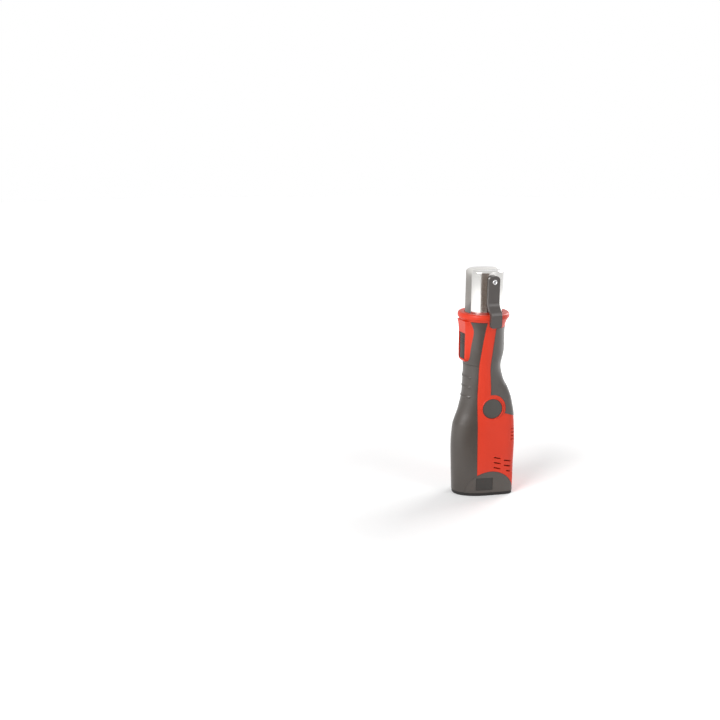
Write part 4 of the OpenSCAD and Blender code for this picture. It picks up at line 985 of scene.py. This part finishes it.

# %% [markdown]
# ## Springs
# Two coils shorten when the tool works: one as the ram rises, one as the button is pressed. Their CAD solids are right
# at rest but stiff. Each is copied here as a piece of its own, with its own mesh, its slot's finish and the housing's
# body, and its node is hidden. The record holds the end that stays and the travel; the loop reads the axis and that
# end, but nothing here makes the copy shorten.
# The record holds that end and the travel, so nothing is typed twice.

# %% Springs
slot_of = {entry["node"]: entry["material_slot"] for entry in frame["record"]["subparts"]}
for joint in frame["record"]["behaviour"]["joints"]:
    for entry in joint.get("deforming_nodes", []):
        letter = entry["mode"][-1]
        along = "xyz".index(letter)
        axis, fixed_end = [0, 0, 0], entry[f"fixed_end_{letter}_m"]
        axis[along] = 1
        coil = new_object(entry["node"] + "_coil", frame["nodes"][entry["node"]].data.copy())
        dress(coil, "housing", slot_of[entry["node"]], entry["node"])
        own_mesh(coil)

# %% [markdown]
# ## Floor, light and camera
# The photograph is a plain studio shot: white ground, a soft lamp from the left and a weaker light that rims the right
# side. A strong white world alone would wash the colours out, so it is bright only to the camera and in reflections,
# and lights the tool at a plain level. Two dark cards that only reflections see, one upright before the tool and one
# on the floor, give the steel its dark bands, as studios do for metal.

# %% Floor and world
FLOOR_R, FLOOR_STEPS, FLOOR_DROP, FLOOR_SPECKLE, WORLD_LEVEL = 6000, 96, 0.2, 3.3, 0.25


def looked_at(tree):
    """1 for rays that the camera, a mirror or glass sends out, 0 for those that gather light."""
    ray = node(tree, "ShaderNodeLightPath").outputs
    mirror = maths(tree, "MAXIMUM", ray["Is Glossy Ray"], ray["Is Transmission Ray"])
    return maths(tree, "MAXIMUM", ray["Is Camera Ray"], mirror)


def pale_floor():
    """A disc of floor that is white far away and keeps the shadow near the tool."""
    turn = np.linspace(0, 2 * np.pi, FLOOR_STEPS, endpoint=False)
    ring = [(FLOOR_R * math.cos(a), FLOOR_R * math.sin(a), -FLOOR_DROP) for a in turn]
    floor = mesh_object("floor", ring, [tuple(range(FLOOR_STEPS))])
    look, tree, surface = new_look("pale_floor")
    place = node(tree, "ShaderNodeTexCoord").outputs["Object"]
    speckle = node(tree, "ShaderNodeTexNoise", Vector=place, Scale=FLOOR_SPECKLE).outputs["Fac"]
    tint = node(tree, "ShaderNodeMix", data_type="RGBA", Factor=speckle, A=(0.9, 0.9, 0.9, 1), B=(0.94, 0.94, 0.94, 1))
    away = node(tree, "ShaderNodeVectorMath", place, operation="LENGTH").outputs["Value"]
    glow = node(tree, "ShaderNodeMapRange", Value=away, From_Min=0.2, From_Max=0.8, To_Min=0.1, To_Max=0.7)
    feed(surface, Roughness=0.7, Base_Color=tint.outputs["Result"], Emission_Color=(1, 1, 1, 1),
         Emission_Strength=maths(tree, "MULTIPLY", glow.outputs["Result"], looked_at(tree)))
    floor.data.materials.append(look)


def white_world(level):
    """White to the camera and in reflections; level is how much it lights matt surfaces."""
    sky = bpy.data.worlds.new("studio")
    bpy.context.scene.world = sky
    sky.use_nodes = True
    strength = node(sky.node_tree, "ShaderNodeMapRange", Value=looked_at(sky.node_tree), To_Min=level, To_Max=1.0)
    feed(sky.node_tree.nodes["Background"], Color=(1, 1, 1, 1), Strength=strength.outputs["Result"])


pale_floor()
white_world(WORLD_LEVEL)
print("world:", bpy.context.scene.world.name)

# %% Lamps and cards
LAMP_AIM, LAMP_SIZE = (0, 0, 0.15), 0.9


def aimed(made, place, aim):
    """Places an object and turns its -Z towards a point."""
    made.location = place
    made.rotation_mode = "QUATERNION"
    made.rotation_quaternion = (Vector(aim) - Vector(place)).to_track_quat("-Z", "Y")


def lamp(name, place, watts):
    light = bpy.data.lights.new(name, "AREA")
    light.shape, light.size, light.energy = "DISK", LAMP_SIZE, watts
    aimed(new_object(name, light), place, LAMP_AIM)


def dark_card(place, aim, width, height):
    """A dark card that only reflections see."""
    corners = [(x * width / 2, y * height / 2, 0) for x, y in ((-1, -1), (1, -1), (1, 1), (-1, 1))]
    card = mesh_object("card", corners, [(0, 1, 2, 3)])
    look, _, surface = new_look("card_black")
    feed(surface, Base_Color=(0.2, 0.15, 0.12, 1))
    card.data.materials.append(look)
    card.visible_camera = card.visible_shadow = card.visible_diffuse = False
    aimed(card, place, aim)


lamp("key", (-1.3, -0.7, 1.0), 24)
lamp("fill", (0.9, -1.3, 1.1), 6)
lamp("rim", (1.2, 0.5, 0.8), 14)
dark_card((-0.25, -0.654, 0.16), (0, 0, 0.16), 640, 320)
dark_card((-0.15, -0.38, 0.001), (-0.15, -0.38, 1), 420, 480)

# %% Camera
CAMERA_PLACE, CAMERA_AZIMUTH, CAMERA_PITCH = (-0.495, -1.016, 0.4665), -17.85, 14.3
CAMERA_LENS, SENSOR, CLIP = 44, 36, (0.01, 100)
camera = new_object("camera", bpy.data.cameras.new("camera"))
camera.data.lens, camera.data.sensor_width = CAMERA_LENS, SENSOR
camera.data.clip_start, camera.data.clip_end = CLIP
camera.location = CAMERA_PLACE
camera.rotation_euler = [math.radians(turn) for turn in (90 - CAMERA_PITCH, 0, CAMERA_AZIMUTH)]
bpy.context.scene.camera = camera
bpy.context.scene.view_settings.view_transform = "Standard"
print("camera lens:", camera.data.lens, "mm")
